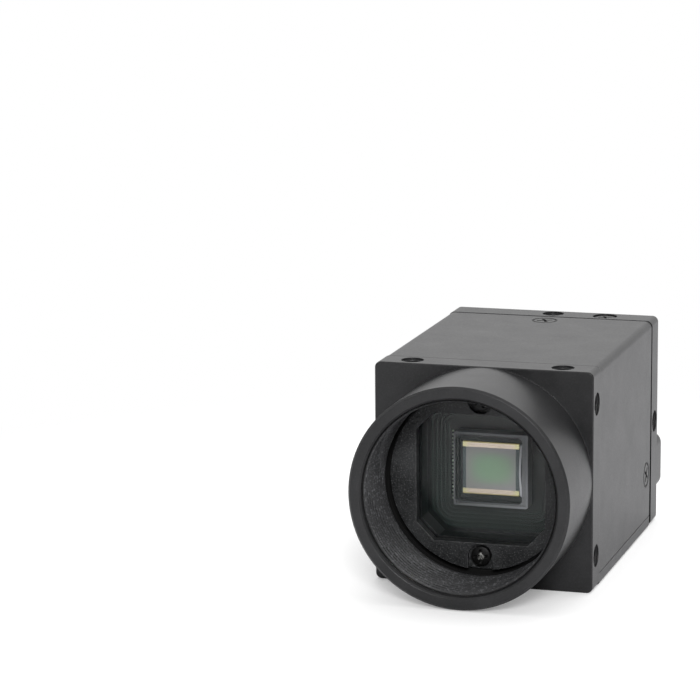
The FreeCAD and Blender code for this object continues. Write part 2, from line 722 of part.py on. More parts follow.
def link_socket(x, y0, y1):
    """Half of a board connector with the slot for the tongue."""
    length = LINK_LENGTH - 2 * LINK_TONGUE_MARGIN + 2 * LINK_CLEARANCE
    width = LINK_TONGUE_WIDTH + 2 * LINK_CLEARANCE
    base = slab(rectangle(LINK_WIDTH, LINK_LENGTH, 0, x), y0, y1)
    floor = y0 + LINK_TONGUE_DEPTH + LINK_CLEARANCE
    return base.cut(slab(rectangle(width, length, 0, x), y0 - OVERRUN, floor))


def sensor_link_plug():
    """Connector on the back of the sensor board."""
    return link_plug(LINK_OFFSET, SENSOR_BOARD_BACK_Y, (SENSOR_BOARD_BACK_Y + PROCESSING_Y) / 2)


def sensor_link_socket():
    """Its mate on the front of the processing board."""
    return link_socket(LINK_OFFSET, (SENSOR_BOARD_BACK_Y + PROCESSING_Y) / 2, PROCESSING_Y)


def interface_link_plug():
    """Tall connector on the back of the processing board."""
    return link_plug(-LINK_OFFSET, PROCESSING_BACK_Y, (PROCESSING_BACK_Y + INTERFACE_Y) / 2)


def interface_link_socket():
    """Its mate on the front of the interface board."""
    return link_socket(-LINK_OFFSET, (PROCESSING_BACK_Y + INTERFACE_Y) / 2, INTERFACE_Y)


def chip(width, height, x, z, y0, y1):
    """Flat electronic component."""
    return slab(rectangle(width, height, 0, x, z), y0, y1)


def processor():
    """Image processor in the middle of the processing board's back."""
    return chip(PROCESSOR_SIDE, PROCESSOR_SIDE, 0, AXIS_Z, PROCESSING_BACK_Y,
                PROCESSING_BACK_Y + PROCESSOR_THICKNESS)


def memory_chip():
    """Working memory on the processing board's front."""
    return chip(MEMORY_WIDTH, MEMORY_HEIGHT, -MEMORY_WIDTH / 2, AXIS_Z, PROCESSING_Y - MEMORY_THICKNESS,
                PROCESSING_Y)


def flash_chip():
    """Program memory beside it."""
    x = LINK_OFFSET - LINK_WIDTH / 2 - FLASH_GAP - FLASH_WIDTH / 2
    return chip(FLASH_WIDTH, FLASH_HEIGHT, x, AXIS_Z, PROCESSING_Y - FLASH_THICKNESS, PROCESSING_Y)


def thermal_pad():
    """Soft pad between the processor and the heat spreader."""
    y0 = PROCESSING_BACK_Y + PROCESSOR_THICKNESS
    return slab(rectangle(PROCESSOR_SIDE, PROCESSOR_SIDE), y0, y0 + PAD_THICKNESS)


def heat_spreader():
    """Bent sheet that takes the heat from the pad to the inside of the top cover."""
    y0 = PROCESSING_BACK_Y + PROCESSOR_THICKNESS + PAD_THICKNESS
    y1 = INTERFACE_Y - SPREADER_GAP
    top = AXIS_Z + INSIDE_HALF - FIT_CLEARANCE
    bottom = AXIS_Z - PROCESSOR_SIDE / 2
    inner_bend = SPREADER_BEND - SPREADER_SHEET
    corners = [
        (y0, bottom, 0.0), (y0, top, SPREADER_BEND), (y1, top, 0.0), (y1, top - SPREADER_SHEET, 0.0),
        (y0 + SPREADER_SHEET, top - SPREADER_SHEET, inner_bend), (y0 + SPREADER_SHEET, bottom, 0.0),
    ]
    sheet = slab(corners, 0, SPREADER_WIDTH)
    sheet.rotate(Vector(0, 0, 0), Vector(0, 0, 1), 90)
    sheet.translate(Vector(SPREADER_WIDTH / 2, 0, 0))
    return sheet


def network_transformer():
    """Isolating transformer on the interface board's front, in front of the jack."""
    z = AXIS_Z - TRANSFORMER_HEIGHT / 2 - CHIP_GAP
    front = INTERFACE_Y - TRANSFORMER_THICKNESS
    return chip(TRANSFORMER_WIDTH, TRANSFORMER_HEIGHT, 0, z, front, INTERFACE_Y)


def network_chip():
    """Line driver above the transformer."""
    z = AXIS_Z + NETWORK_CHIP_SIDE / 2 + CHIP_GAP
    front = INTERFACE_Y - NETWORK_CHIP_THICKNESS
    return chip(NETWORK_CHIP_SIDE, NETWORK_CHIP_SIDE, 0, z, front, INTERFACE_Y)


def power_inductor():
    """Coil of the voltage converter, behind the interface board and above the jack."""
    x = -CONNECTOR_X
    start = Vector(x, INTERFACE_BACK_Y, CONNECTOR_Z)
    return rod(COIL_RADIUS, start, start + Vector(0, COIL_THICKNESS, 0))


# Network jack

def contact_places():
    """The x of each contact of the jack."""
    first = -CONTACT_PITCH * (CONTACT_COUNT - 1) / 2
    return [first + index * CONTACT_PITCH for index in range(CONTACT_COUNT)]


def plug_floor_z():
    """Height of the floor of the plug opening."""
    return JACK_CENTRE_Z - JACK_HEIGHT / 2 + JACK_SHEET + JACK_CLEARANCE + PLUG_FLOOR


def contact_z():
    """Height of the straight run of the contacts in the jack's floor."""
    return plug_floor_z() - CONTACT_INSET


def plug_outline():
    """Outline of the plug opening with its stepped latch channel."""
    z0 = plug_floor_z()
    z1 = z0 + PLUG_HEIGHT
    z2 = z1 + LATCH_RISE
    z3 = z2 + LATCH_SLOT_RISE
    half = PLUG_WIDTH / 2
    latch = LATCH_WIDTH / 2
    slot = LATCH_SLOT_WIDTH / 2
    right = [(half, z0), (half, z1), (latch, z1), (latch, z2), (slot, z2), (slot, z3)]
    left = [(-x, z) for x, z in reversed(right)]
    return [(x, z, 0.0) for x, z in right + left]


def network_jack_body():
    """Moulded insert with the plug opening and a slot for each contact."""
    mouth = JACK_RIM_Y - JACK_BODY_DROP
    shrink = 2 * (JACK_SHEET + JACK_CLEARANCE)
    corner = JACK_CORNER - JACK_SHEET
    body = slab(
        rectangle(JACK_WIDTH - shrink, JACK_HEIGHT - shrink, corner, 0, JACK_CENTRE_Z),
        INTERFACE_BACK_Y, mouth)
    opening = slab(plug_outline(), mouth - PLUG_DEPTH, mouth + OVERRUN)
    half = CONTACT_SLOT_WIDTH / 2
    bottom = contact_z() - half
    top = plug_floor_z() + OVERRUN
    slot_end = JACK_RIM_Y - CONTACT_TOP_DROP + CONTACT_BEND + CONTACT_SLOT_WIDTH / 2
    slots = [
        block(x - half, x + half, INTERFACE_BACK_Y - OVERRUN, slot_end, bottom, top)
        for x in contact_places()]
    return body.cut([opening] + slots)


def network_jack_contacts():
    """Eight strips that come up through the jack's floor and bend back into the plug opening."""
    lean = math.radians(CONTACT_LEAN_DEG)
    z = contact_z()
    bend_y = JACK_RIM_Y - CONTACT_TOP_DROP
    bend_z = z + CONTACT_BEND
    half = CONTACT_THICKNESS / 2
    first = -math.pi / 2
    fold = (math.pi - lean) / CONTACT_FOLDS
    sides = []
    for radius, height in ((CONTACT_BEND + half, z - half), (CONTACT_BEND - half, z + half)):
        side = [Vector(0, INTERFACE_Y - CONTACT_TAIL, height)]
        for index in range(CONTACT_FOLDS + 1):
            angle = first + fold * index
            side.append(Vector(0, bend_y + radius * math.cos(angle), bend_z + radius * math.sin(angle)))
        side.append(side[-1] + Vector(0, -math.cos(lean), math.sin(lean)) * CONTACT_REACH)
        sides.append(side)
    outer, inner = sides
    corners = outer + inner[::-1]
    face = Part.Face(Part.makePolygon(corners + corners[:1]))
    strips = []
    for place in contact_places():
        strip = face.extrude(Vector(CONTACT_WIDTH, 0, 0))
        strip.translate(Vector(place - CONTACT_WIDTH / 2, 0, 0))
        strips.append(strip)
    return strips


def finger(run):
    """Spring finger, folded from a wall at x = run over the insert into an opening at x below 0."""
    mouth = JACK_RIM_Y - JACK_BODY_DROP
    outer = -FINGER_CLEARANCE
    inner = outer - FINGER_SHEET
    points = [
        (run, mouth), (run, mouth + FINGER_SHEET), (inner, mouth + FINGER_SHEET),
        (inner - FINGER_LEAN, mouth - FINGER_LENGTH), (outer - FINGER_LEAN, mouth - FINGER_LENGTH),
        (outer, mouth),
    ]
    corners = [Vector(x, y, -FINGER_WIDTH / 2) for x, y in points]
    return Part.Face(Part.makePolygon(corners + corners[:1])).extrude(Vector(0, 0, FINGER_WIDTH))


def network_jack_shield():
    """Folded can round the insert, with two spring fingers at its sides and two at its floor."""
    outside = rectangle(JACK_WIDTH, JACK_HEIGHT, JACK_CORNER, 0, JACK_CENTRE_Z)
    can = slab(outside, INTERFACE_BACK_Y, JACK_RIM_Y)
    shrink = 2 * JACK_SHEET
    inside = rectangle(
        JACK_WIDTH - shrink, JACK_HEIGHT - shrink, JACK_CORNER - JACK_SHEET, 0, JACK_CENTRE_Z)
    can = can.cut(slab(inside, INTERFACE_BACK_Y - OVERRUN, JACK_RIM_Y + OVERRUN))
    fingers = []
    for side in (RIGHT_SIDE, LEFT_SIDE):
        one = finger((JACK_WIDTH - JACK_SHEET - PLUG_WIDTH) / 2)
        one.translate(Vector(PLUG_WIDTH / 2, 0, 0))
        one.rotate(Vector(0, 0, 0), Vector(0, 1, 0), side)
        one.translate(Vector(0, 0, SIDE_FINGER_Z))
        fingers.append(one)
    for x in (-FLOOR_FINGER_X, FLOOR_FINGER_X):
        one = finger(PLUG_FLOOR + JACK_CLEARANCE + JACK_SHEET / 2)
        one.rotate(Vector(0, 0, 0), Vector(0, 1, 0), 90)
        one.translate(Vector(x, 0, plug_floor_z()))
        fingers.append(one)
    return fused(can, fingers)


# Round power connector

def pin_places():
    """The (x, z) of each pin: a circle of pins and one in the middle."""
    places = [(CONNECTOR_X, CONNECTOR_Z)]
    for index in range(PIN_COUNT):
        angle = 2 * math.pi * index / PIN_COUNT
        across = PIN_CIRCLE * math.sin(angle)
        up = PIN_CIRCLE * math.cos(angle)
        places.append((CONNECTOR_X + across, CONNECTOR_Z + up))
    return places


def pin_bars(radius, y0, y1):
    """A flat-sided bar at the place of each pin: the pins, or holes to be cut."""
    return [prism(radius, SMALL_SIDES, y0, y1, x, z) for x, z in pin_places()]


def power_connector_shell():
    """Turned shell with a flange that seats in the ring of the rear plate."""
    flange_y = RING_Y - FLANGE_DROP
    inside_y = REAR_FACE_Y - SHELL_INSIDE
    profile = [
        (SHELL_BORE_RADIUS, inside_y), (SHELL_RADIUS, inside_y),
        (SHELL_RADIUS, flange_y - FLANGE_THICKNESS), (FLANGE_RADIUS, flange_y - FLANGE_THICKNESS),
        (FLANGE_RADIUS, flange_y), (SHELL_RADIUS, flange_y),
        (SHELL_RADIUS, TIP_Y - SHELL_CHAMFER), (SHELL_RADIUS - SHELL_CHAMFER, TIP_Y),
        (SHELL_BORE_RADIUS, TIP_Y),
    ]
    return turned(profile, CONNECTOR_X, CONNECTOR_Z)


def power_connector_insert():
    """Insulator inside the shell."""
    y0 = REAR_FACE_Y - SHELL_INSIDE
    radius = SHELL_BORE_RADIUS - FIT_CLEARANCE
    y1 = y0 + INSERT_LENGTH
    insert = turned([(0, y0), (radius, y0), (radius, y1), (0, y1)], CONNECTOR_X, CONNECTOR_Z)
    return insert.cut(pin_bars(PIN_RADIUS + FIT_CLEARANCE / 2, y0 - OVERRUN, y1 + OVERRUN))


def power_connector_pins():
    """Six pins from the mouth of the connector to the interface board."""
    mouth = REAR_FACE_Y - SHELL_INSIDE + INSERT_LENGTH + PIN_STAND
    return pin_bars(PIN_RADIUS, INTERFACE_Y - CONTACT_TAIL, mouth)


# Rear of the camera

def boss_corners():
    """Outline of the jack's boss: a rectangle with an ear at each side, joined by smooth curves."""
    half_w = BOSS_WIDTH / 2
    half_h = BOSS_HEIGHT / 2
    side = BODY_SIDE / 2
    ear = EAR_HEIGHT / 2
    quarter = [(side, ear, EAR_CORNER), (half_w, ear, EAR_FILLET), (half_w, half_h, BOSS_CORNER)]
    upper_left = [(-x, z, radius) for x, z, radius in reversed(quarter)]
    upper = quarter + upper_left
    lower = [(-x, -z, radius) for x, z, radius in upper]
    return [(x, JACK_CENTRE_Z + z, radius) for x, z, radius in upper + lower]


def rear_plate():
    """Rear plate with the jack's boss and ears, the connector's ring, lugs and tapped holes."""
    plate = slab(rectangle(BODY_SIDE, BODY_SIDE, PLATE_CORNER), REAR_INSIDE_Y, REAR_FACE_Y)
    plate = broken_edges(plate, REAR_FACE_Y)
    boss = broken_edges(slab(boss_corners(), REAR_FACE_Y - REAR_PLATE / 2, BOSS_Y), BOSS_Y)
    ring = turned([
        (0, REAR_INSIDE_Y), (RING_RADIUS, REAR_INSIDE_Y), (RING_RADIUS, RING_Y - EDGE_BREAK),
        (RING_RADIUS - EDGE_BREAK, RING_Y), (0, RING_Y),
    ], CONNECTOR_X, CONNECTOR_Z)
    rim = locating_rim(REAR_INSIDE_Y - LOCATING_RIM_HEIGHT, REAR_INSIDE_Y)
    solid = fused(plate, [boss, ring, rim] + plate_lugs(TO_REAR_PLATE))

    play = 2 * JACK_CLEARANCE
    jack_window = slab(
        rectangle(JACK_WIDTH + play, JACK_HEIGHT + play, JACK_CORNER, 0, JACK_CENTRE_Z),
        INTERFACE_BACK_Y, BOSS_Y + OVERRUN)
    seat = RING_Y - FLANGE_DROP - FLANGE_THICKNESS
    connector_bore = turned([
        (0, REAR_INSIDE_Y - OVERRUN), (SHELL_RADIUS + FIT_CLEARANCE, REAR_INSIDE_Y - OVERRUN),
        (SHELL_RADIUS + FIT_CLEARANCE, seat), (FLANGE_RADIUS + FIT_CLEARANCE, seat),
        (FLANGE_RADIUS + FIT_CLEARANCE, TIP_Y), (0, TIP_Y),
    ], CONNECTOR_X, CONNECTOR_Z)
    ear_y = BOSS_Y - EAR_HOLE_DEPTH
    ear_holes = [
        rod(EAR_HOLE_RADIUS, Vector(x, BOSS_Y + OVERRUN, JACK_CENTRE_Z), Vector(x, ear_y, JACK_CENTRE_Z))
        for x in (-EAR_HOLE_SPACING / 2, EAR_HOLE_SPACING / 2)]
    side_holes = [
        on_side(mount_hole(REAR_FACE_Y - REAR_HOLE_INSET, 0, REAR_HOLE_DEPTH), side)
        for side in (RIGHT_SIDE, TOP_SIDE, LEFT_SIDE)]
    lock_holes = [
        lock_bar(LOCK_SCREW_RADIUS + FIT_CLEARANCE, CONNECTOR_Z, BODY_SIDE + OVERRUN),
        lock_bar(LOCK_RECESS_RADIUS, BODY_SIDE - LOCK_RECESS_DEPTH, BODY_SIDE + OVERRUN)]
    cover_holes = screw_holes([s for s in COVER_SCREWS + BASE_SCREWS if s[2] == TO_REAR_PLATE])
    return solid.cut([jack_window, connector_bore] + lock_holes + ear_holes + side_holes + cover_holes)


def lock_bar(radius, bottom, top):
    """Upright round bar where the lock screw is, in the top of the rear plate."""
    x = BODY_SIDE / 2 - LOCK_SCREW_MARGIN
    y = REAR_FACE_Y - LOCK_SCREW_INSET
    return rod(radius, Vector(x, y, bottom), Vector(x, y, top))


def connector_lock_screw():
    """Headless screw in the top of the rear plate that holds the round connector."""
    top = BODY_SIDE - LOCK_SCREW_DROP
    screw = lock_bar(LOCK_SCREW_RADIUS, CONNECTOR_Z + SHELL_RADIUS + FIT_CLEARANCE, top)
    recess = cross_recess(LOCK_SCREW_RADIUS, CROSS_DEPTH)
    recess.rotate(Vector(0, 0, 0), Vector(1, 0, 0), -90)
    recess.translate(Vector(BODY_SIDE / 2 - LOCK_SCREW_MARGIN, REAR_FACE_Y - LOCK_SCREW_INSET, top))
    return screw.cut(recess)


# Covers

def top_cover():
    """Folded U-shaped cover over both sides and the top, a little below the plates' faces."""
    half = COVER_HALF
    inner = INSIDE_HALF
    bottom = COVER_WALL + BASE_LIP + BASE_SEAM
    top = AXIS_Z + half
    inner_top = AXIS_Z + inner
    outside = [
        (-half, bottom, 0.0), (-half, top, COVER_BEND),
        (half, top, COVER_BEND), (half, bottom, 0.0),
    ]
    inside = [
        (inner, bottom, 0.0), (inner, inner_top, COVER_INSIDE_BEND),
        (-inner, inner_top, COVER_INSIDE_BEND), (-inner, bottom, 0.0),
    ]
    corners = outside + inside
    cover = slab(corners, PLATE_BACK_Y + FRONT_SEAM, REAR_INSIDE_Y - REAR_SEAM)
    return cover.cut(screw_holes(COVER_SCREWS))


def base_cover():
    """Flat plate that closes the bottom, with a lip under each edge of the top cover."""
    half = COVER_HALF
    lip = COVER_WALL + BASE_LIP
    corners = [
        (-half, 0, BASE_ROUNDING), (half, 0, BASE_ROUNDING), (half, lip, 0.0), (INSIDE_HALF, lip, 0.0),
        (INSIDE_HALF, COVER_WALL, 0.0), (-INSIDE_HALF, COVER_WALL, 0.0), (-INSIDE_HALF, lip, 0.0),
        (-half, lip, 0.0),
    ]
    plate = slab(corners, PLATE_BACK_Y + FRONT_SEAM, REAR_INSIDE_Y - REAR_SEAM)
    return plate.cut(screw_holes(BASE_SCREWS))


def screws_of(screws):
    """The countersunk screws of a list, each at its place."""
    return [on_side(at_screw(cover_screw(), across, plate), side) for side, across, plate in screws]


def cover_screws():
    """Four screws of the folded cover."""
    return screws_of(COVER_SCREWS)


def base_screws():
    """Three screws of the base cover."""
    return screws_of(BASE_SCREWS)


# One file per piece, named after its function

PIECES = [
    front_housing, filter_frame, filter_frame_screws, filter_glass, dust_seal,
    sensor_package, sensor_die, sensor_cover_glass,
    sensor_board, processing_board, interface_board,
    front_standoffs, rear_standoffs, board_screws,
    sensor_link_plug, sensor_link_socket, interface_link_plug, interface_link_socket,
    processor, memory_chip, flash_chip, thermal_pad, heat_spreader,
    network_transformer, network_chip, power_inductor,
    network_jack_shield, network_jack_body, network_jack_contacts,
    power_connector_shell, power_connector_insert, power_connector_pins,
    rear_plate, connector_lock_screw, top_cover, base_cover, cover_screws, base_screws,
]

os.makedirs("parts", exist_ok=True)
for piece in PIECES:
    made = piece()
    shape = Part.makeCompound(made) if isinstance(made, list) else made
    shape.exportStep("parts/" + piece.__name__ + ".step")
    print(piece.__name__, len(shape.Solids), round(shape.Volume, 2), shape.isValid())
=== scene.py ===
# %% [markdown]
# # A machine vision camera
# The solids of this small camera come from the CAD model, and this file gives them their looks:
# fine threads, screws, solder, coatings and light. Each step says what the piece is on the real
# camera, how it could be made, and why this way was chosen.

# %% Load the CAD model
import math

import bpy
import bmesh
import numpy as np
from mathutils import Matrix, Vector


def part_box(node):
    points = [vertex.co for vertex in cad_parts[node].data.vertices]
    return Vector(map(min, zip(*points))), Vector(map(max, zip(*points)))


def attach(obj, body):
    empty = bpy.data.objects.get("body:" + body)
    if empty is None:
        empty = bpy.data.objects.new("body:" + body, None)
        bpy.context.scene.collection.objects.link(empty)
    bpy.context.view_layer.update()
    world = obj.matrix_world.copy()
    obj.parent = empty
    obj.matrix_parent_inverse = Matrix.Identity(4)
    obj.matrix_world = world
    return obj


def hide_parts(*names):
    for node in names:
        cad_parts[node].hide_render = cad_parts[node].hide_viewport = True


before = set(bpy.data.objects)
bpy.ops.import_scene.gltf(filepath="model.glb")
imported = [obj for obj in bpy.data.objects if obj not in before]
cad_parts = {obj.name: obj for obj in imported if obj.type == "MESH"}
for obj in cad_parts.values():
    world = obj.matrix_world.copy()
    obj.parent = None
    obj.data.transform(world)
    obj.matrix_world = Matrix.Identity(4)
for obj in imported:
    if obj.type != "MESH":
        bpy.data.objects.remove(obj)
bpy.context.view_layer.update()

# %% [markdown]
# The CAD model is read first, and the box of its front housing gives the station of the barrel's
# rim. The looks may not make the camera bigger. Blender measures in metres and the drawings of
# this camera in millimetres, so one value turns one into the other. A place along the lens axis
# is called a station, and stations grow from the lens to the rear. The surfaces below are worked
# out as whole arrays, without a loop over their points.

MM = 0.001
TURN = 2 * math.pi
AXIS = 14.5                      # height of the lens axis over the floor
TOP = 2 * AXIS                   # height of the plates' upper faces
low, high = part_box("front_housing")
RIM = low.y / MM                 # station of the barrel's rim
PLATE_BACK = -12.75              # station of the front plate's back
REAR_INSIDE = 19.65              # station of the rear plate's front
FLUSH = 0.12                     # how far the covers' outer faces come up towards the plates'
CREST, ROOT = 12.27, 12.62       # radii of the lens thread

# %% [markdown]
# ## The photographer's camera
# The photograph was measured with the known width of the body. That gave the place of the lens,
# the direction it looks in and its focal length, so the same view is set here as numbers. It is a
# long lens, 0.43 m from the body. The small shift is the crop of the picture.

# %% Set the camera
IMAGE = 700
FOCAL = 3215.5                   # focal length in pixels
MIDDLE = (363.48, 331.4)         # pixel that the lens axis goes through
ROLL = math.radians(0.368)

right = np.array([0.95738, 0.28883, 0.0])
down = np.array([0.05427, -0.17987, -0.98219])
ahead = np.array([-0.28369, 0.94033, -0.18788])
image_right = right * math.cos(ROLL) + down * math.sin(ROLL)
image_down = -right * math.sin(ROLL) + down * math.cos(ROLL)

view = bpy.data.cameras.new("photograph_view")
view.sensor_width = 36.0
view.lens = FOCAL / IMAGE * view.sensor_width
view.shift_x = 0.5 - MIDDLE[0] / IMAGE
view.shift_y = MIDDLE[1] / IMAGE - 0.5
view.clip_start, view.clip_end = 0.01, 20.0
camera = bpy.data.objects.new("photograph_view", view)
turn = Matrix(np.array([image_right, -image_down, -ahead]).T.tolist()).to_4x4()
camera.matrix_world = Matrix.Translation((0.101992, -0.407996, 0.110976)) @ turn
bpy.context.scene.collection.objects.link(camera)
bpy.context.scene.camera = camera
print("focal length", round(view.lens, 1), "mm")

# %% [markdown]
# ## Numbers that act like sums
# A pattern on a surface is a sum over its coordinates. Written as nodes, such a sum is hard to
# read. A small class stands for the output of a node, and its plus, minus, times and divide each
# add a Math node, so a pattern can be written as the formula that it is. One method adds any
# other kind of node.

# %% A socket with arithmetic
class Socket:
    """The output of a node, with arithmetic that adds Math nodes."""

    def __init__(self, finish, output):
        self.finish = finish
        self.output = output

    def math(self, operation, *values):
        inputs = dict(enumerate((self,) + values))
        return self.finish.add("ShaderNodeMath", {"operation": operation}, inputs)

    def __add__(self, other):
        return self.math("ADD", other)

    def __sub__(self, other):
        return self.math("SUBTRACT", other)

    def __mul__(self, other):
        return self.math("MULTIPLY", other)

    def __truediv__(self, other):
        return self.math("DIVIDE", other)

    __radd__ = __add__
    __rmul__ = __mul__

    def __rsub__(self, other):
        return self.math("MULTIPLY", -1.0).math("ADD", other)

    def __abs__(self):
        return self.math("ABSOLUTE")

    def most(self, other):
        return self.math("MAXIMUM", other)

    def power(self, other):
        return self.math("POWER", other)

    def sine(self):
        return self.math("SINE")

    def root(self):
        return self.most(0.0).math("SQRT")

    def ramp(self, start, end):
        """0 up to start, 1 from end on, and smooth between; start may be the larger one."""
        if start > end:
            return 1.0 - self.ramp(end, start)
        inputs = {0: self, 1: start, 2: end, 3: 0.0, 4: 1.0}
        return self.finish.add("ShaderNodeMapRange", {"interpolation_type": "SMOOTHSTEP"}, inputs)

    def between(self, start, full, last, end):
        """0 up to start, 1 from full to last, and 0 again from end on."""
        return self.ramp(start, full) * self.ramp(end, last)


class Finish:
    """A material, or the world: adds nodes, and hands out coordinates in millimetres."""

    def __init__(self, name, world=None):
        self.material = world or bpy.data.materials.new(name)
        self.material.use_nodes = True
        self.tree = self.material.node_tree
        self.tree.nodes.clear()
        place = self.add("ShaderNodeTexCoord", output="Object")
        inputs = {0: place, 3: 1 / MM}
        self.place = self.add("ShaderNodeVectorMath", {"operation": "SCALE"}, inputs)
        self.x, self.y, self.z = [
            self.add("ShaderNodeSeparateXYZ", {}, {0: self.place}, i) for i in range(3)]

    def add(self, kind, settings=None, inputs=None, output=0):
        node = self.tree.nodes.new(kind)
        for name, value in (settings or {}).items():
            setattr(node, name, value)
        for key, value in (inputs or {}).items():
            if isinstance(value, Socket):
                self.tree.links.new(value.output, node.inputs[key])
            else:
                node.inputs[key].default_value = value
        return Socket(self, node.outputs[output]) if len(node.outputs) else None

    def noise(self, size, detail=2.0, stretch=(1.0, 1.0, 1.0)):
        """Cloudy noise from 0 to 1 whose clouds are about size millimetres wide."""
        inputs = {0: self.place, 1: tuple(1.0 / (size * s) for s in stretch)}
        place = self.add("ShaderNodeVectorMath", {"operation": "MULTIPLY"}, inputs)
        inputs = {"Vector": place, "Scale": 1.0, "Detail": detail}
        return self.add("ShaderNodeTexNoise", {}, inputs)

    def mix(self, share, first, second):
        """A colour between two."""
        first, second = [c if isinstance(c, Socket) else tuple(c) + (1.0,) for c in (first, second)]
        return self.add("ShaderNodeMix", {"data_type": "RGBA"}, {0: share, 6: first, 7: second}, 2)

    def from_axis(self, height):
        """Distance in mm to the line along y at this height."""
        up = self.z - height
        return (self.x * self.x + up * up).root()

    def outside(self, x, z, half_x, half_z):
        """Distance in mm to an upright rectangle round (x, z), and 0 inside it: the length of
        (|x| - half width, |z| - half height), each at least zero."""
        out_x = (abs(self.x - x) - half_x).most(0.0)
        out_z = (abs(self.z - z) - half_z).most(0.0)
        return (out_x * out_x + out_z * out_z).root()

    def rounded(self, radius):
        """The normal as if edges were rounded, and 0 to 1 for how far it turns away from the real
        one, from 1 - the cosine between both."""
        soft = self.add("ShaderNodeBevel", {"samples": 6}, {"Radius": radius * MM})
        real = self.add("ShaderNodeNewGeometry", output="Normal")
        inputs = {0: soft, 1: real}
        cosine = self.add("ShaderNodeVectorMath", {"operation": "DOT_PRODUCT"}, inputs, 1)
        return soft, (1.0 - cosine).ramp(0.02, 0.20)

    def bump(self, height, depth, soft=None):
        """A normal that a height from 0 to 1 tilts, as deep as depth millimetres."""
        inputs = {"Strength": 1.0, "Distance": depth * MM, "Height": height}
        if soft:
            inputs["Normal"] = soft
        return self.add("ShaderNodeBump", {}, inputs)

    def coat(self, **values):
        """Close the material with a Principled shader; names have _ for a space."""
        inputs = {name.replace("_", " "): value for name, value in values.items()}
        shader = self.add("ShaderNodeBsdfPrincipled", {}, inputs)
        self.add("ShaderNodeOutputMaterial", {}, {0: shader})
        return self.material


# %% [markdown]
# ## Black anodised aluminium
# The body and barrel are milled, blasted with fine beads and anodised black. Close up that is a
# fine grain, dark when seen straight on and pale at a low angle, where it mirrors the white room.
# A single black would look like plastic. Noise of several sizes gives the grain, the marks of
# single beads and the slow changes of the dye. Pale specks are uncoated grains and partly a
# painted sparkle, and edges are a little paler, partly where handling polishes them and partly as
# a painted highlight.
#
# Hardly any light gets into the undercut behind the lens thread and into the gaps before and
# behind the top cover. The finish finds these three by their place and paints them black as
# painted shade.

# %% Anodised finish
UNDERCUT_RADII = (12.1, 12.5, 13.4, 13.5)         # where the black begins, is full, fades, ends
UNDERCUT_STATIONS = (-19.2, -19.1, -16.9, -16.8)


def anodised(name, dark, pale, roughness, size, depth, fine_depth, wear_and_glint):
    """Blasted and dyed aluminium: grain = noise, cloud = slow noise in colour and gloss, fine =
    the marks of the beads, pale specks = uncoated grains and partly a painted sparkle, pale edges =
    turned edges where noise is high, rubbed there and partly a painted highlight, groove = the
    undercut behind the thread, seam = the gap between front plate and top cover, shade = the one
    before the rear plate; these three are painted black as painted shade."""
    f = Finish(name)
    soft, edge = f.rounded(0.14)
    grain = f.noise(size, 3.0)
    fine = f.noise(0.11, 3.0)
    cloud = f.noise(4.0, 2.0)
    # pale specks: uncoated grains, partly a painted sparkle
    grains_and_sparkle = f.noise(size * 0.6, 2.0).ramp(0.54, 0.70)
    # paler edges: rubbed edges, partly a painted highlight along them
    edge_wear_and_highlight = edge * f.noise(0.5, 3.0).ramp(0.35, 0.65)
    groove = f.from_axis(AXIS).between(*UNDERCUT_RADII) * f.y.between(*UNDERCUT_STATIONS)
    seam = abs(f.y - PLATE_BACK).ramp(0.16, 0.08) * f.z.ramp(TOP - 0.30, TOP - 0.12)
    shade = abs(f.y - REAR_INSIDE).ramp(0.24, 0.10) * f.z.ramp(TOP - 0.5, TOP - 0.8)
    # painted shade: the undercut and both gaps, where hardly any light gets in, are painted black
    painted_shade = groove.most(seam).most(shade)
    colour = f.mix((cloud * 0.6 + grain * 0.4).ramp(0.3, 0.7), dark, pale)
    colour = f.mix(grains_and_sparkle * (wear_and_glint * wear_and_glint), colour, (0.072, 0.073, 0.075))
    colour = f.mix(edge_wear_and_highlight * wear_and_glint, colour, (0.16, 0.16, 0.165))
    # painted shade: near black colour in the undercut and the gaps
    colour = f.mix(painted_shade, colour, (0.002, 0.002, 0.002))
    gloss = (roughness + (cloud - 0.5) * 0.10 + (grain - 0.5) * 0.12).most(painted_shade)
    coarse = f.bump(grain * 0.7 + cloud * 0.3, depth, soft)
    return f.coat(Base_Color=colour, Metallic=0.0, Roughness=gloss, IOR=1.5,
                  Specular_IOR_Level=0.32, Normal=f.bump(fine, fine_depth, coarse))


def threaded(name, crest, root):
    """The same coat on the lens thread, where lenses have rubbed the crests and the crests are also
    painted paler as a highlight: one mask is how near the radius is to the crest's, the other is
    small uncoated grains that are partly painted glints."""
    f = Finish(name)
    rub_and_highlight = f.from_axis(AXIS).ramp(root, crest)
    grain = f.noise(0.24, 3.0)
    grains_and_glints = f.noise(0.30, 2.0).ramp(0.52, 0.66)
    # painted highlight: crests and grains are paler, partly real rubbing
    crest_wear_and_highlight = rub_and_highlight * (0.30 + 0.70 * grains_and_glints)
    colour = f.mix(crest_wear_and_highlight, (0.006, 0.006, 0.0062), (0.095, 0.096, 0.101))
    return f.coat(Base_Color=colour, Metallic=rub_and_highlight * 0.35, Roughness=0.42 - grains_and_glints * 0.12, IOR=1.5,
                  Normal=f.bump(grain, 0.030))


BODY_BLACK = anodised("black_anodised", (0.009, 0.009, 0.0095), (0.017, 0.017, 0.018),
                      roughness=0.37, size=0.26, depth=0.004, fine_depth=0.008, wear_and_glint=0.3)
FRAME_BLACK = anodised("black_frame", (0.005, 0.0055, 0.006), (0.028, 0.029, 0.030),
                       roughness=0.42, size=0.30, depth=0.080, fine_depth=0.0, wear_and_glint=1.0)
THREAD_BLACK = threaded("black_thread", CREST, ROOT)

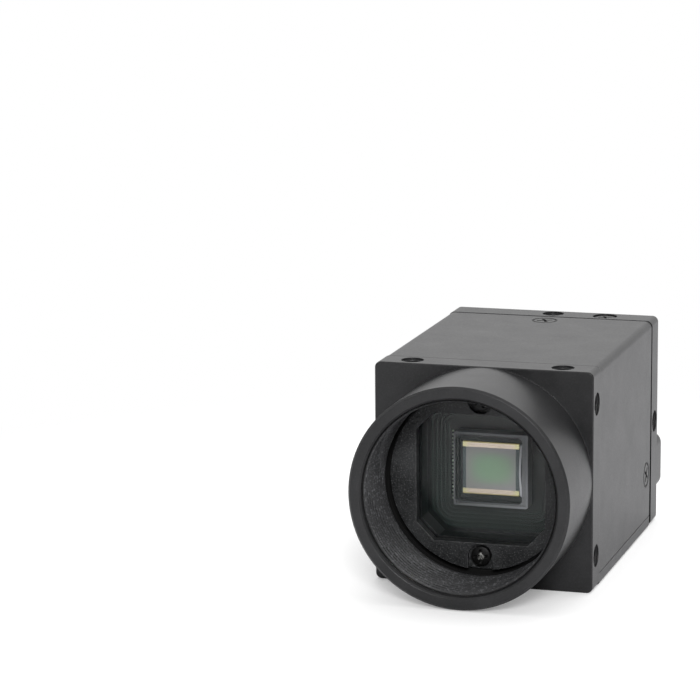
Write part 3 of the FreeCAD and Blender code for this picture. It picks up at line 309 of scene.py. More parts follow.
# %% [markdown]
# ## Metals
# The round connector is nickel plated, the jack's can is tinned sheet, the spacers are brass with
# a thin plating and the contacts are gold plated. Metal shows mostly what it mirrors, so the
# pattern goes into its roughness and its normal: turned grooves on the connector, and the long
# smears that rolling leaves on sheet.

# %% Metal finishes
def metal(name, dark, pale, roughness, size, stretch=(1.0, 1.0, 1.0), depth=0.003):
    """Plated metal: smears = noise drawn out along one way, in colour, gloss and normal."""
    f = Finish(name)
    smears = f.noise(size, 3.0, stretch)
    tarnish = f.noise(2.2, 2.0)
    colour = f.mix(smears * 0.5 + tarnish * 0.5, dark, pale)
    gloss = roughness + (smears - 0.5) * 0.14 + (tarnish - 0.5) * 0.08
    return f.coat(Base_Color=colour, Metallic=1.0, Roughness=gloss, Normal=f.bump(smears, depth))


NICKEL = metal("plated_shell", (0.50, 0.49, 0.46), (0.78, 0.77, 0.74), 0.24, 0.08, (1.0, 0.5, 1.0))
TINNED = metal("tinned_steel", (0.52, 0.51, 0.48), (0.80, 0.79, 0.75), 0.32, 0.12, (1.0, 9.0, 1.0))
GOLD = metal("gold_contact", (0.72, 0.48, 0.16), (0.95, 0.72, 0.32), 0.26, 0.10, (1.0, 4.0, 1.0))
SOLDER = metal("solder", (0.42, 0.56, 0.44), (0.88, 0.95, 0.80), 0.34, 0.15)
SPACER = metal("spacer_brass", (0.55, 0.50, 0.38), (0.74, 0.69, 0.55), 0.34, 0.12, (1.0, 0.4, 1.0))
BARE = metal("bare_aluminium", (0.60, 0.60, 0.61), (0.78, 0.78, 0.79), 0.38, 0.14, (9.0, 1.0, 1.0))

# %% [markdown]
# ## Screws, plastic, rubber and ferrite
# The screws are blackened steel, as dull as the body. Moulded plastic has a fine spark-eroded
# grain, rubber is matt, and the ferrite of the coil is coarse. They all have one pattern, a grain
# over a slow cloud, in their own sizes and colours. The lower pan-head screw in the barrel is
# rubbed to the metal in the middle of its head, and that bright spot is also a painted glint, so
# it has a finish of its own.

# %% Other plain finishes
def grained(name, dark, pale, roughness, size, depth, level=0.5):
    """Grain = noise of one size over a slow cloud, in colour, gloss and normal."""
    f = Finish(name)
    grain = f.noise(size, 3.0)
    cloud = f.noise(size * 18, 2.0)
    colour = f.mix(grain * 0.5 + cloud * 0.5, dark, pale)
    gloss = roughness + (grain - 0.5) * 0.16
    return f.coat(Base_Color=colour, Roughness=gloss, Specular_IOR_Level=level,
                  Normal=f.bump(grain, depth))


SCREW_BLACK = grained("black_screw", (0.006, 0.006, 0.006), (0.014, 0.014, 0.014),
                      0.36, 0.16, 0.010, 0.32)
PAN_OFFSET = 10.25               # from the lens axis, up and down, to the pan-head screws


def bare_and_glinting_screw():
    """Black steel, rubbed to the metal in the middle of the lower head, which is also a painted
    glint: the spot = near its axis * noise.
    """
    f = Finish("black_pan_screw")
    near = f.from_axis(AXIS - PAN_OFFSET).ramp(0.55, 0.15)
    # painted glint: a bright metal spot near the axis of the lower head, partly real wear
    wear_and_glint = near * f.noise(0.16, 1.0).ramp(0.42, 0.55)
    colour = f.mix(wear_and_glint, (0.004, 0.004, 0.004), (0.75, 0.75, 0.72))
    return f.coat(Base_Color=colour, Metallic=wear_and_glint, Roughness=0.40 - wear_and_glint * 0.20,
                  Specular_IOR_Level=0.2)


PAN_BLACK = bare_and_glinting_screw()
PLASTIC = grained("black_plastic", (0.010, 0.010, 0.010), (0.024, 0.024, 0.024), 0.46, 0.10, 0.006)
RUBBER = grained("seal_rubber", (0.010, 0.010, 0.010), (0.030, 0.031, 0.030),
                 0.80, 0.20, 0.030, 0.2)
FERRITE = grained("ferrite", (0.030, 0.030, 0.033), (0.085, 0.085, 0.090), 0.62, 0.25, 0.020)
# painted highlight: the clear glue is drawn nearly white, as the line of light on it
GLUE_HIGHLIGHT = grained("lid_glue_highlight", (0.74, 0.75, 0.80), (0.90, 0.91, 0.95), 0.22, 0.30, 0.004)

# %% [markdown]
# The carrier of the chip is grey ceramic outside, and its cavity is blackened, so that no light
# strays onto the chip. The finish tells them apart by place: the black lies inside a rounded
# rectangle that is a little larger than the cavity.

# %% Ceramic of the carrier
low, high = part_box("sensor_package")
FACE = low.y / MM                # station of the carrier's face
low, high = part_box("sensor_die")
CHIP_HALF = ((high.x - low.x) / 2 / MM, (high.z - low.z) / 2 / MM)
CHIP_X = (high.x + low.x) / 2 / MM
CAVITY = (-0.36, AXIS - 0.08, 3.84, 3.81)         # middle and half sizes, less the rounding
CAVITY_ROUNDING = (0.64, 0.56)                    # the black begins, and is full


def ceramic():
    """Grey ceramic, paler to the right as painted light, and black where the distance to the
    cavity's rectangle is less than its rounding."""
    f = Finish("grey_ceramic")
    grain = f.noise(0.12, 3.0)
    cloud = f.noise(2.0, 2.0)
    soft = f.rounded(0.05)[0]
    inside = f.outside(*CAVITY).ramp(*CAVITY_ROUNDING)
    # painted light: the ceramic is paler towards the right
    pale = f.x.ramp(-6.0, 6.0) * 0.7 + cloud * 0.3
    colour = f.mix(pale, (0.075, 0.082, 0.086), (0.350, 0.360, 0.378))
    colour = f.mix(grain * 0.3, colour, (0.12, 0.12, 0.12))
    colour = f.mix(inside, colour, (0.016, 0.021, 0.020))
    return f.coat(Base_Color=colour, Roughness=0.52 + (grain - 0.5) * 0.16,
                  Normal=f.bump(grain, 0.004, soft))


CERAMIC = ceramic()

# %% [markdown]
# ## Circuit boards
# A board is dark green lacquer over copper tracks, and the tracks stand a little proud. Those on
# the sensor board run round the chip's carrier, down its left side and along under it. The sine
# of the distance to a rectangle draws lines that turn the corner together.

# %% Board finish
def lacquer(name, half_x, half_z, pitch, dark, bright, everywhere):
    """Tracks = sine of the distance to a rectangle; everywhere = 0 keeps them left and below."""
    f = Finish(name)
    distance = f.outside(0.0, AXIS, half_x, half_z)
    left = f.x.ramp(-half_x + 1.0, -half_x)
    below = f.z.ramp(AXIS - half_z + 1.0, AXIS - half_z)
    line = (distance * (TURN / pitch) - 1.2).sine().ramp(-0.2, 0.8)
    track = line * distance.ramp(0.15, 0.5) * left.most(below).most(everywhere)
    weave = f.noise(0.35, 2.0)
    patch = f.noise(2.6, 1.0).ramp(0.35, 0.62)
    colour = f.mix(track * (0.55 + 0.45 * patch), dark, bright)
    colour = f.mix(weave * 0.3, colour, tuple(0.5 * c for c in dark))
    return f.coat(Base_Color=colour, Roughness=0.36 + (weave - 0.5) * 0.12 - track * 0.06,
                  Normal=f.bump(track * 0.8 + weave * 0.2, 0.016))


SENSOR_BOARD = lacquer("sensor_board", 5.4, 5.2, 0.55,
                       (0.006, 0.010, 0.008), (0.020, 0.036, 0.030), 0.0)
BOARD = lacquer("board_green", 3.0, 3.0, 0.9, (0.008, 0.030, 0.018), (0.020, 0.080, 0.042), 1.0)
print("finishes so far:", len(bpy.data.materials))

# %% [markdown]
# ## The light-sensitive chip
# The chip is silicon under a mosaic of colour filters. It looks grey with a green bloom in the
# middle, has a cream strip of amplifiers along its top and bottom, and a dark slate strip at each
# side. All of it is one flat surface, so the finish follows two numbers that run from -1 to 1
# over the chip: u across and v up.

# %% Chip finish
PIXEL_ROWS, STRIP_CELLS = 0.16, 0.42              # pitches of the fine patterns


def silicon():
    """Colours by u and v: slate sides, cream strips top and bottom, green bloom in the middle,
    and a little more light to the right. Bloom = (1 - |u|^2.2) * (1 - |v|^2.2), both scaled."""
    f = Finish("sensor_silicon")
    u = (f.x - CHIP_X) / CHIP_HALF[0]
    v = (f.z - AXIS) / CHIP_HALF[1]
    bloom_u = (1.0 - (abs(u - 0.06) * 1.02).power(2.2)).most(0.0)
    bloom_v = (1.0 - (abs(v) * 1.34).power(2.2)).most(0.0)
    tilt = u.ramp(-1.0, 1.0)
    rows = (f.z * (TURN / PIXEL_ROWS)).sine() * 0.5 + 0.5
    grey = f.mix(tilt, (0.365, 0.366, 0.352), (0.450, 0.448, 0.452))
    green = f.mix(tilt, (0.290, 0.478, 0.312), (0.350, 0.530, 0.350))
    area = f.mix((bloom_u * bloom_v).ramp(0.0, 1.0), grey, green)
    area = f.mix(rows * 0.03, area, (0.10, 0.12, 0.10))
    side = abs(u).ramp(0.875, 0.895)
    area = f.mix(side, area, (0.10, 0.13, 0.135))
    ends = abs(u).ramp(0.72, 0.98)
    cells = (f.x * (TURN / STRIP_CELLS)).sine().ramp(-0.2, 0.6)
    strip = f.mix(ends, (1.0, 0.85, 0.70), (1.0, 0.96, 0.52))
    strip = f.mix(cells * 0.10, strip, (0.72, 0.62, 0.42))
    edge = abs(v).ramp(0.955, 0.985)
    strip = f.mix(edge, strip, (0.70, 0.60, 0.25))
    on_strip = abs(v).ramp(0.795, 0.805)
    colour = f.mix(on_strip, area, strip)
    return f.coat(Base_Color=colour, Metallic=0.14 + on_strip * 0.8, Roughness=0.24 + rows * 0.05,
                  IOR=1.6, Normal=f.bump(rows, 0.002))


SILICON = silicon()

# %% [markdown]
# ## Glass
# Two panes lie before the chip: the filter in the barrel and the lid of the carrier. They are
# thin and flat, so nothing bends behind them. A glass shader would keep the light out of the
# barrel, because light that passes a solid pane is hard to find for the renderer. A mostly
# transparent glossy coat gives the faint reflection and lets the light through.

# %% Glass finish
def pane(name, tint, share, roughness):
    """Transparent coat: alpha = share, a little more where dust lies."""
    f = Finish(name)
    dust = f.noise(0.5, 3.0).ramp(0.62, 0.80)
    colour = f.mix(dust * 0.3, tint, (0.25, 0.27, 0.27))
    return f.coat(Base_Color=colour, Roughness=roughness + dust * 0.1, IOR=1.52,
                  Specular_IOR_Level=1.0, Alpha=share + dust * 0.02)


FILTER_GLASS = pane("clear_glass", (0.006, 0.014, 0.013), 0.10, 0.03)
LID_GLASS = pane("lid_glass", (0.020, 0.026, 0.030), 0.05, 0.05)

# %% [markdown]
# ## Surfaces from two parameters
# Threads, screws and shells are all bodies of revolution with something extra, so they are grids:
# one parameter goes round, the other runs along a profile. The grid goes into a mesh as whole
# arrays. Where a row has zero radius its points fall together and are merged, which closes the
# pole.

# %% Grid to mesh
WELD = 0.0005                    # points that are nearer than this, in mm, become one


def grid_object(name, sheets, finish, replaces=(), loop=False):
    """One object from grids (rows, columns, 3) in mm: each closes round its columns, and with
    loop its last row joins its first, as on a sleeve."""
    points, faces, count = [], [], 0
    for sheet in sheets:
        rows, columns = sheet.shape[:2]
        index = np.arange(rows * columns).reshape(rows, columns) + count
        if loop:
            index = np.concatenate([index, index[:1]])
        following = np.roll(index, -1, axis=1)
        quads = np.stack([index[:-1], following[:-1], following[1:], index[1:]], axis=-1)
        faces.append(quads.reshape(-1, 4))
        points.append(sheet.reshape(-1, 3))
        count += rows * columns
    points, faces = np.concatenate(points) * MM, np.concatenate(faces)
    mesh = bpy.data.meshes.new(name)
    mesh.from_pydata(points.tolist(), [], faces.tolist())
    work = bmesh.new()
    work.from_mesh(mesh)
    bmesh.ops.remove_doubles(work, verts=work.verts, dist=WELD * MM)
    bmesh.ops.recalc_face_normals(work, faces=work.faces)
    work.to_mesh(mesh)
    work.free()
    mesh.shade_smooth()
    mesh.set_sharp_from_angle(angle=math.radians(40))
    made = bpy.data.objects.new(name, mesh)
    bpy.context.scene.collection.objects.link(made)
    made.data.materials.append(finish)
    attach(made, "root")
    if replaces:
        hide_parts(*replaces)
    print(name, "faces:", len(mesh.polygons))


def ring_of(steps):
    """Angles of one turn, without the last, which is the first again."""
    return np.linspace(0, TURN, steps, endpoint=False)


def placed(across, over, along, origin, right, up, into):
    """Grid from its own three lengths: origin + across * right + over * up + along * into."""
    return (np.array(origin) + across[..., None] * np.array(right) + over[..., None] * np.array(up)
            + along[..., None] * np.array(into))


# %% [markdown]
# ## The lens thread
# The barrel takes a lens with a thread of 25.4 mm and 32 turns to the inch. In the photograph it
# is a field of fine parallel lines at the lower left. A bump pattern would do for a picture from
# far off, but the lines catch light on their flanks, so the groove is real: the radius goes in
# and out by a rounded triangle wave of (distance along the axis / pitch - angle / one turn).

# %% Make the lens thread
PITCH = 25.4 / 32


def thread_wave(phase):
    """0 at the crest, 1 at the root: a triangle wave with flat crests and roots."""
    saw = np.abs((phase % 1.0) * 2 - 1)
    return np.clip(saw * 1.35 - 0.175, 0, 1)


def inner_thread(start, length, crest, root, pitch, round_steps, per_turn):
    """Sleeve in a hole: radius = root - (root - crest) * (1 - wave), running out at both ends,
    and a first and last row a little behind it, which the loop joins into the sleeve's back."""
    steps = int(length / pitch * per_turn)
    stations = np.linspace(0, length, steps)
    along, angle = np.meshgrid(stations, ring_of(round_steps), indexing="ij")
    fade = np.clip(along / pitch, 0, 1) * np.clip((length - along) / pitch, 0, 1)
    ridge = (1 - thread_wave(along / pitch - angle / TURN)) * fade
    radius = crest + (root - crest) * (1 - ridge)
    radius[0], radius[-1] = root + 0.03, root + 0.03
    return radius, start + along, angle


radius, along, angle = inner_thread(RIM + 0.25, 10.2, CREST, ROOT, PITCH, round_steps=240,
                                    per_turn=10)
sleeve = np.stack([radius * np.cos(angle), along, AXIS + radius * np.sin(angle)], axis=-1)
grid_object("lens_thread", [sleeve], THREAD_BLACK, loop=True)

# %% [markdown]
# ## Threads in the mounting holes
# Eleven holes of 3 mm take screws that hold the camera, and two of 2 mm take those of the network
# plug. Each gets the same surface as the lens mount, at its own size. A hole is given by the
# middle of its mouth and the way into it.

# %% Make the threads of the holes
low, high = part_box("rear_plate")
HALF = high.x / MM               # half of the body's width
BOSS_FACE = high.y / MM
FRONT_HOLES = -14.85             # stations of the holes
REAR_HOLES = 21.75
HOLE_OFFSET = 10.0               # from the lens axis to a hole of the front plate
PLUG_HOLES = (10.25, 8.0)        # aside and height of the holes for the plug's screws


def hole_frame(mouth, into):
    """Two directions across a hole that goes the given way."""
    into = np.array(into, float)
    right = np.cross(into, (0, 1, 0)) if abs(into[1]) < 0.5 else np.array([1.0, 0, 0])
    return mouth, right, np.cross(into, right), into


side_holes = []
for across in (-HOLE_OFFSET, HOLE_OFFSET):
    side_holes += [((HALF, FRONT_HOLES, AXIS + across), (-1, 0, 0)),
                   ((-HALF, FRONT_HOLES, AXIS + across), (1, 0, 0)),
                   ((across, FRONT_HOLES, TOP), (0, 0, -1)),
                   ((across, FRONT_HOLES, 0), (0, 0, 1))]
side_holes += [((HALF, REAR_HOLES, AXIS), (-1, 0, 0)),
               ((-HALF, REAR_HOLES, AXIS), (1, 0, 0)),
               ((0, REAR_HOLES, TOP), (0, 0, -1))]
plug_holes = [((side * PLUG_HOLES[0], BOSS_FACE, PLUG_HOLES[1]), (0, -1, 0)) for side in (-1, 1)]

sheets = []
for holes, length, crest, root, pitch, round_steps in (
        (side_holes, 2.4, 1.24, 1.46, 0.5, 32), (plug_holes, 3.5, 0.80, 0.97, 0.4, 28)):
    radius, depth, angle = inner_thread(0.25, length, crest, root, pitch, round_steps, per_turn=8)
    for mouth, into in holes:
        sheets.append(placed(radius * np.cos(angle), radius * np.sin(angle), depth,
                             *hole_frame(mouth, into)))
grid_object("hole_threads", sheets, BODY_BLACK, loop=True)

# %% [markdown]
# ## Screws
# A screw's head is a disc with a cross pressed into it. A grid in polar coordinates suits it: rows
# run from the middle of the head to its edge, down its side and along the shank. The depth of the
# cross at a point is that of the nearer arm, and an arm is deep where the distance to its middle
# line is under half its width, shallower towards its end. The same function makes the countersunk
# screws of the covers, the small lock screw and the pan-head screws in the barrel.

# %% A screw as a grid
ROUND = 128                      # points round a head
FLAT = 0.93                      # share of the head's radius up to its broken edge


def cross_depth(radius, angle, reach, width, depth, turn):
    """Depth = depth * how far inside an arm * how far from the arm's end."""
    a, b = radius * np.cos(angle + turn), radius * np.sin(angle + turn)
    arms = []
    for along, aside in ((a, b), (b, a)):
        inside = np.clip((width / 2 - np.abs(aside)) / (0.22 * width), 0, 1)
        arms.append(inside * np.clip((reach - np.abs(along)) / (0.45 * reach), 0, 1))
    return depth * np.maximum(arms[0], arms[1])


def screw(mouth, into, head, side, shank, length, reach, width, depth, dome=0.0, turn=0.3):
    """Grid of a screw: head radius, side = [(radius, depth), ...] under the head's top, shank.
    Top of the head = dome * (1 - (r / head)^2) over its edge, less its broken edge and the
    cross, which has a reach, a width and a depth and is turned by an angle."""
    top = np.concatenate([np.linspace(0, FLAT, 34) ** 0.9, [0.97, 1.0]]) * head
    radius, angle = np.meshgrid(top, ring_of(ROUND), indexing="ij")
    edge = 0.05 * np.clip(radius / head - FLAT, 0, 1) / 0.07 * head
    height = dome * (1 - (radius / head) ** 2) - edge
    sunk = -height + cross_depth(radius, angle, reach, width, depth, turn)
    below = np.array(side + [(shank, side[-1][1]), (shank, length - 0.2),
                             (shank - 0.2, length), (0.0, length)])
    rest = np.repeat(below[:, :, None], ROUND, axis=2)
    radius = np.concatenate([radius, rest[:, 0]])
    sunk = np.concatenate([sunk, rest[:, 1]])
    angle = np.tile(ring_of(ROUND), (radius.shape[0], 1))
    return placed(radius * np.cos(angle), radius * np.sin(angle), sunk, *hole_frame(mouth, into))


# %% [markdown]
# ## Where the screws sit
# Four countersunk screws hold the top cover, three the base cover, and one small screw locks the
# round connector. The two pan-head screws of the filter frame sit deep in the barrel, where the
# photograph shows one as a bright cross in a dark pocket.

# %% Make the screws
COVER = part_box("top_cover")[1].x / MM + FLUSH     # half of the width over the cover
FRONT_SCREWS, REAR_SCREWS = -9.75, 16.65          # stations of the covers' screws
SIDE_SCREWS = 8.0                                 # height of the rear ones in the sides


def countersunk(mouth, into, turn):
    """One of the seven screws of the covers."""
    return screw(mouth, into, head=1.50, side=[(1.50, 0.28), (1.0, 0.80)], shank=0.99, length=3.6,
                 reach=1.12, width=0.42, depth=0.62, turn=turn)


grid_object("cover_screw_heads", [
    countersunk((COVER, REAR_SCREWS, SIDE_SCREWS), (-1, 0, 0), 0.95),
    countersunk((0, REAR_SCREWS, AXIS + COVER), (0, 0, -1), 0.45),
    countersunk((-COVER, REAR_SCREWS, SIDE_SCREWS), (1, 0, 0), 0.6),
    countersunk((-COVER, FRONT_SCREWS, 21.0), (1, 0, 0), 0.2)],
    SCREW_BLACK, ["cover_screws"])
grid_object("base_screw_heads", [
    countersunk((0, FRONT_SCREWS, 0.15), (0, 0, 1), 0.3),
    countersunk((-10.7, REAR_SCREWS, 0.15), (0, 0, 1), 0.5),
    countersunk((10.7, REAR_SCREWS, 0.15), (0, 0, 1), 0.15)],
    SCREW_BLACK, ["base_screws"])

low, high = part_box("filter_frame_screws")
pan_edge = low.y / MM + 0.2
grid_object("frame_screw_heads", [
    screw((0, pan_edge, AXIS + up), (0, 1, 0), head=1.3, side=[(1.3, 0.15), (1.3, 0.55)],
          shank=0.79, length=3.2, reach=0.95, width=0.40, depth=0.42, dome=0.2, turn=turn)
    for up, turn in ((PAN_OFFSET, 0.5), (-PAN_OFFSET, 0.05))],
    PAN_BLACK, ["filter_frame_screws"])

low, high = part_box("connector_lock_screw")
lock_x, lock_y = (low.x + high.x) / 2 / MM, (low.y + high.y) / 2 / MM
lock_top, lock_length = high.z / MM + 0.22, (high.z - low.z) / MM
grid_object("lock_screw_head", [
    screw((lock_x, lock_y, lock_top), (0, 0, -1), head=1.48, side=[(1.48, 0.12)], shank=1.46,
          length=lock_length, reach=0.95, width=0.36, depth=0.5, turn=0.4)],
    SCREW_BLACK, ["connector_lock_screw"])

# %% [markdown]
# ## The round connector
# The shell is turned from brass and nickel plated: a tube with a fine thread outside, a flange
# that sits in the rear plate, and a bevelled rim. It is one profile carried round the axis, with
# the thread's wave added to its outer radius, so the groove is a true helix.

# %% Make the connector shell
low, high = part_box("power_connector_shell")
SHELL_X, SHELL_Z = (low.x + high.x) / 2 / MM, (low.z + high.z) / 2 / MM
SHELL_BACK, SHELL_TIP = low.y / MM, high.y / MM
SHELL_BORE, SHELL_FOOT, SHELL_RADIUS = 3.31, 3.99, 4.0
SHELL_PITCH, SHELL_ROUND = 0.5, 144
GROOVE, RUN_OUT = 0.31, 0.3      # depth of the thread, and length of its last part

foot = [(SHELL_BORE, SHELL_BACK), (SHELL_FOOT, SHELL_BACK), (SHELL_FOOT, 24.1),
        (5.32, 24.1), (5.39, 24.17), (5.39, 24.53), (5.32, 24.6)]
thread = [(SHELL_RADIUS, y) for y in np.linspace(24.62, SHELL_TIP - RUN_OUT, 110)]
rim = [(3.72, SHELL_TIP - 0.12), (3.60, SHELL_TIP), (3.42, SHELL_TIP),
       (SHELL_BORE, SHELL_TIP - 0.12)]
profile = np.array(foot + thread + rim)
on_thread = np.zeros((len(profile), 1))
on_thread[len(foot):-len(rim)] = 1
radius, angle = np.meshgrid(profile[:, 0], ring_of(SHELL_ROUND), indexing="ij")
along = np.repeat(profile[:, 1:2], SHELL_ROUND, axis=1)
deepest = 0.25 + 0.06 * np.clip((SHELL_TIP - RUN_OUT - along) / RUN_OUT, 0, 1)
wave = thread_wave(along / SHELL_PITCH - angle / TURN)
radius = radius - on_thread * np.clip(wave * GROOVE, 0, deepest)
shell = np.stack([SHELL_X + radius * np.cos(angle), along, SHELL_Z + radius * np.sin(angle)],
                 axis=-1)
grid_object("connector_shell", [shell], NICKEL, ["power_connector_shell"],
            loop=True)

# %% [markdown]
# ## Round the chip
# The carrier is soldered to the board, and small domes of solder show in a row at its left and
# under it. Beneath the lid a bead of clear glue runs round the chip. Only its right side catches
# the light, as a thin bent line, so only that side is made, and its pale colour is a painted
# highlight.

# %% Make the solder and the glue
low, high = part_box("sensor_package")
PACK_X, PACK_Z = high.x / MM, (high.z - low.z) / 2 / MM
BOARD_FACE = high.y / MM
polar, angle = np.meshgrid(np.linspace(0, math.pi, 7), ring_of(10), indexing="ij")


def dome(x, z, wide, high_in_y):
    """Small ellipsoid: x and z by the angle, y by the height over the board."""
    across = wide * np.sin(polar) * np.cos(angle)
    up = wide * np.sin(polar) * np.sin(angle)
    return np.stack([x + across, BOARD_FACE - high_in_y * np.cos(polar), AXIS + z + up], axis=-1)


pads = np.arange(-9, 10) * 0.50  # places of the joints along a side
domes = [dome(-PACK_X - 0.62, z, 0.16, 0.14) for z in pads]
domes += [dome(x, -PACK_Z - 0.44, 0.13, 0.12) for x in pads[:-3]]
grid_object("carrier_solder", domes, SOLDER)


def bead(across, bulge, half, station, thick):
    """Upright tube at x = across - bulge * (1 - (z / half)^2), thinner in the middle."""
    share, angle = np.meshgrid(np.linspace(-1, 1, 41), ring_of(12), indexing="ij")
    radius = thick * (0.6 + 0.4 * share ** 2) * np.sqrt(np.clip(1 - share ** 20, 0, 1))
    x = across - bulge * (1 - share ** 2) + radius * np.cos(angle)
    return np.stack([x, station + radius * np.sin(angle), AXIS + half * share], axis=-1)


# the bead's pale colour is a painted highlight
grid_object("lid_glue_highlight", [bead(4.02, 0.26, 3.56, FACE + 0.72, 0.22)], GLUE_HIGHLIGHT)

# %% [markdown]
# ## Finishes for the pieces of the CAD model
# The machined pieces, the covers and the jack's can are shown by copies of their CAD meshes. The
# CAD model's covers lie 0.15 mm lower than the plates, but in the photograph their faces are
# almost level, and a narrow gap shows before the rear plate. So the points of their copies are
# moved by that little.

# %% Level the covers
LEVEL_BEND = 0.92                # the bend that is seen, near the plates' rounding
COVER_BEND = 1.0                 # the covers' bend in the CAD model
SIDE_GAP, TOP_GAP = 0.55, 0.10   # how much the gap before the rear plate widens


def levelled(points):
    """Points of a cover in mm, moved. With d = how far a point lies beyond the axis of the bend,
    sideways and up, the outer faces move out by FLUSH, and nothing moves where d is under half the
    bend's radius. The bend's own points go to a tighter bend: its axis + radius * d / |d|. The
    gap widens by TOP_GAP from the bend up and by SIDE_GAP below it, so it narrows up the side."""
    core = COVER - FLUSH - COVER_BEND
    side, up = np.abs(points[:, 0]), points[:, 2] - AXIS
    d = np.maximum(np.stack([side - core, up - core], axis=1), 0)
    reach = np.hypot(d[:, 0], d[:, 1])
    bent = (reach > 0.95 * COVER_BEND) & (side > core - 0.01) & (up > core - 0.01)
    moved = np.stack([side, up], axis=1) + FLUSH * np.clip(2 * d / COVER_BEND - 1, 0, 1)
    corner = COVER - LEVEL_BEND + LEVEL_BEND * d / np.maximum(reach, 0.01)[:, None]
    moved = np.where(bent[:, None], corner, moved)
    rear = points[:, 1] > points[:, 1].max() - 0.01
    station = points[:, 1] - rear * np.where(up < core, SIDE_GAP, TOP_GAP)
    return np.stack([np.sign(points[:, 0]) * moved[:, 0], station, AXIS + moved[:, 1]], axis=1)


# %% [markdown]
# The other copies keep their shape. Curved faces get smooth shading, which loose triangles can't
# have, so the points are merged first.

# %% Dress the CAD pieces
def dressed(node, finish):
    """A welded copy of a CAD node. Its normals are the mean of the faces round a point that meet
    at less than 30 degrees, weighted by their area, so that flat faces stay flat."""
    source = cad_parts[node].data
    points = np.empty(len(source.vertices) * 3)
    source.vertices.foreach_get("co", points)
    points = points.reshape(-1, 3) / MM
    if node in ("top_cover", "base_cover"):
        points = levelled(points)
    corners = np.empty(len(source.loops), int)
    source.loops.foreach_get("vertex_index", corners)
    mesh = bpy.data.meshes.new(node + "_dressed")
    mesh.from_pydata((points * MM).tolist(), [], corners.reshape(-1, 3).tolist())
    work = bmesh.new()
    work.from_mesh(mesh)
    bmesh.ops.remove_doubles(work, verts=work.verts, dist=WELD * MM)
    bmesh.ops.dissolve_limit(work, angle_limit=math.radians(0.2), verts=work.verts,
                             edges=work.edges)
    work.to_mesh(mesh)
    work.free()
    mesh.shade_smooth()
    mesh.set_sharp_from_angle(angle=math.radians(30))
    mesh.materials.append(finish)
    made = bpy.data.objects.new(node + "_dressed", mesh)
    bpy.context.scene.collection.objects.link(made)
    weights = made.modifiers.new("flat_faces", "WEIGHTED_NORMAL")
    weights.weight = 100
    weights.keep_sharp = True
    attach(made, "root")
    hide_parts(node)


SLOT_OF = {"front_housing": "black_anodised", "top_cover": "black_anodised",
           "base_cover": "black_anodised", "rear_plate": "black_anodised",
           "filter_frame": "black_frame", "network_jack_shield": "tinned_steel"}
FINISH_OF = {"black_anodised": BODY_BLACK, "black_frame": FRAME_BLACK, "tinned_steel": TINNED}
for node, slot in SLOT_OF.items():
    dressed(node, FINISH_OF[slot])
print("welded copies:", len(SLOT_OF))

# %% [markdown]
# The pieces inside keep their CAD meshes, and each takes the finish of what it is made of.

# %% Finishes of the pieces that stay
NODES_OF = [
    (FILTER_GLASS, ["filter_glass"]), (LID_GLASS, ["sensor_cover_glass"]),
    (CERAMIC, ["sensor_package"]), (SILICON, ["sensor_die"]), (SENSOR_BOARD, ["sensor_board"]),
    (BOARD, ["processing_board", "interface_board"]), (SCREW_BLACK, ["board_screws"]),
    (RUBBER, ["dust_seal", "thermal_pad"]), (SPACER, ["front_standoffs", "rear_standoffs"]),
    (PLASTIC, ["sensor_link_plug", "sensor_link_socket", "interface_link_plug",
               "interface_link_socket", "processor", "memory_chip", "flash_chip",
               "network_transformer", "network_chip", "network_jack_body",
               "power_connector_insert"]),
    (BARE, ["heat_spreader"]), (FERRITE, ["power_inductor"]),
    (GOLD, ["network_jack_contacts", "power_connector_pins"]),
]
plain = 0
for finish, nodes in NODES_OF:
    for node in nodes:
        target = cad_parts[node]
        target.data.materials.clear()
        target.data.materials.append(finish)
        plain += 1
print("plain nodes:", plain, "all nodes:", len(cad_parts))

# %% [markdown]
# ## Floor, room and light
# The photograph is a packshot: a white sweep and white all round, which the black faces mirror at
# low angles. The floor shows as white to the camera, but near the body part of its colour is
# real, so the shadow stays. The room is white to the camera. As a light it is brighter from
# behind and above than from the front, so that each side has the tone that the photograph shows.

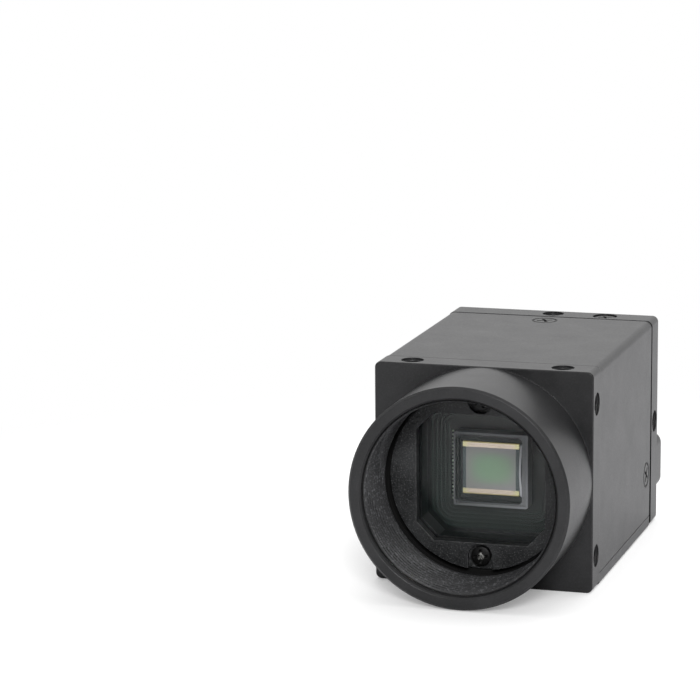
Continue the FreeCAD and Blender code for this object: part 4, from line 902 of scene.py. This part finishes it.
# %% Floor and room
room = bpy.data.worlds.new("white_room")
f = Finish("room", room)
seen = f.add("ShaderNodeLightPath", {}, {}, 0)
way = f.add("ShaderNodeTexCoord", output="Generated")
back = f.add("ShaderNodeSeparateXYZ", {}, {0: way}, 1).ramp(-0.75, 0.45)
above = f.add("ShaderNodeSeparateXYZ", {}, {0: way}, 2).ramp(0.1, 0.8)
level = 0.12 + back * 0.88 + above * 0.44
strength = f.add("ShaderNodeMix", {"data_type": "FLOAT"}, {0: seen, 2: level, 3: 1.0}, 0)
sky = f.add("ShaderNodeBackground", {}, {0: (1.0, 1.0, 1.0, 1.0), 1: strength})
f.add("ShaderNodeOutputWorld", {}, {0: sky})
bpy.context.scene.world = room

f = Finish("white_sweep")
camera_ray = f.add("ShaderNodeLightPath", {}, {}, 0)
tone = f.mix(camera_ray, (0.82, 0.82, 0.83), (1.0, 1.0, 1.0))
paper = f.add("ShaderNodeBsdfDiffuse", {}, {0: tone})
glow = f.add("ShaderNodeEmission", {}, {0: (1.0, 1.0, 1.0, 1.0), 1: 1.0})
away = (f.x * f.x + f.y * f.y).root().ramp(48.0, 110.0)
share = camera_ray * (0.24 + away * 0.76)
white = f.add("ShaderNodeMixShader", {}, {0: share, 1: paper, 2: glow})
f.add("ShaderNodeOutputMaterial", {}, {0: white})
mesh = bpy.data.meshes.new("floor")
under = -0.02 * MM               # so that it doesn't fight with the base cover
corners = [(-3, -3, under), (3, -3, under), (3, 3, under), (-3, 3, under)]
mesh.from_pydata(corners, [], [(0, 1, 2, 3)])
floor = bpy.data.objects.new("floor", mesh)
floor.data.materials.append(f.material)
bpy.context.scene.collection.objects.link(floor)

# %% [markdown]
# Two square lamps do the rest. One hangs over the camera and behind it. A small one stands in
# front, at the right: it lights the front face, and the bright streaks on the barrel are its
# image.

# %% Lamps
def lamp(name, place, size, power):
    """Square soft lamp that looks at the body."""
    light = bpy.data.lights.new(name, "AREA")
    light.size = size
    light.energy = power
    made = bpy.data.objects.new(name, light)
    made.location = place
    aim = Vector((0, 0, AXIS * MM)) - Vector(place)
    made.rotation_euler = aim.to_track_quat("-Z", "Y").to_euler()
    bpy.context.scene.collection.objects.link(made)
    return made


lamps = [lamp("overhead", (0.05, 0.25, 0.8), size=0.55, power=1.2),
         lamp("front", (0.22, -0.78, 0.42), size=0.22, power=6.0)]
print("lamps:", [l.name for l in lamps])

# %% [markdown]
# ## The colour view
# Colours are shown as they are written, without a film curve. The looks may not make
# the camera bigger.

# %% Set the view transform
bpy.context.scene.view_settings.view_transform = "Standard"
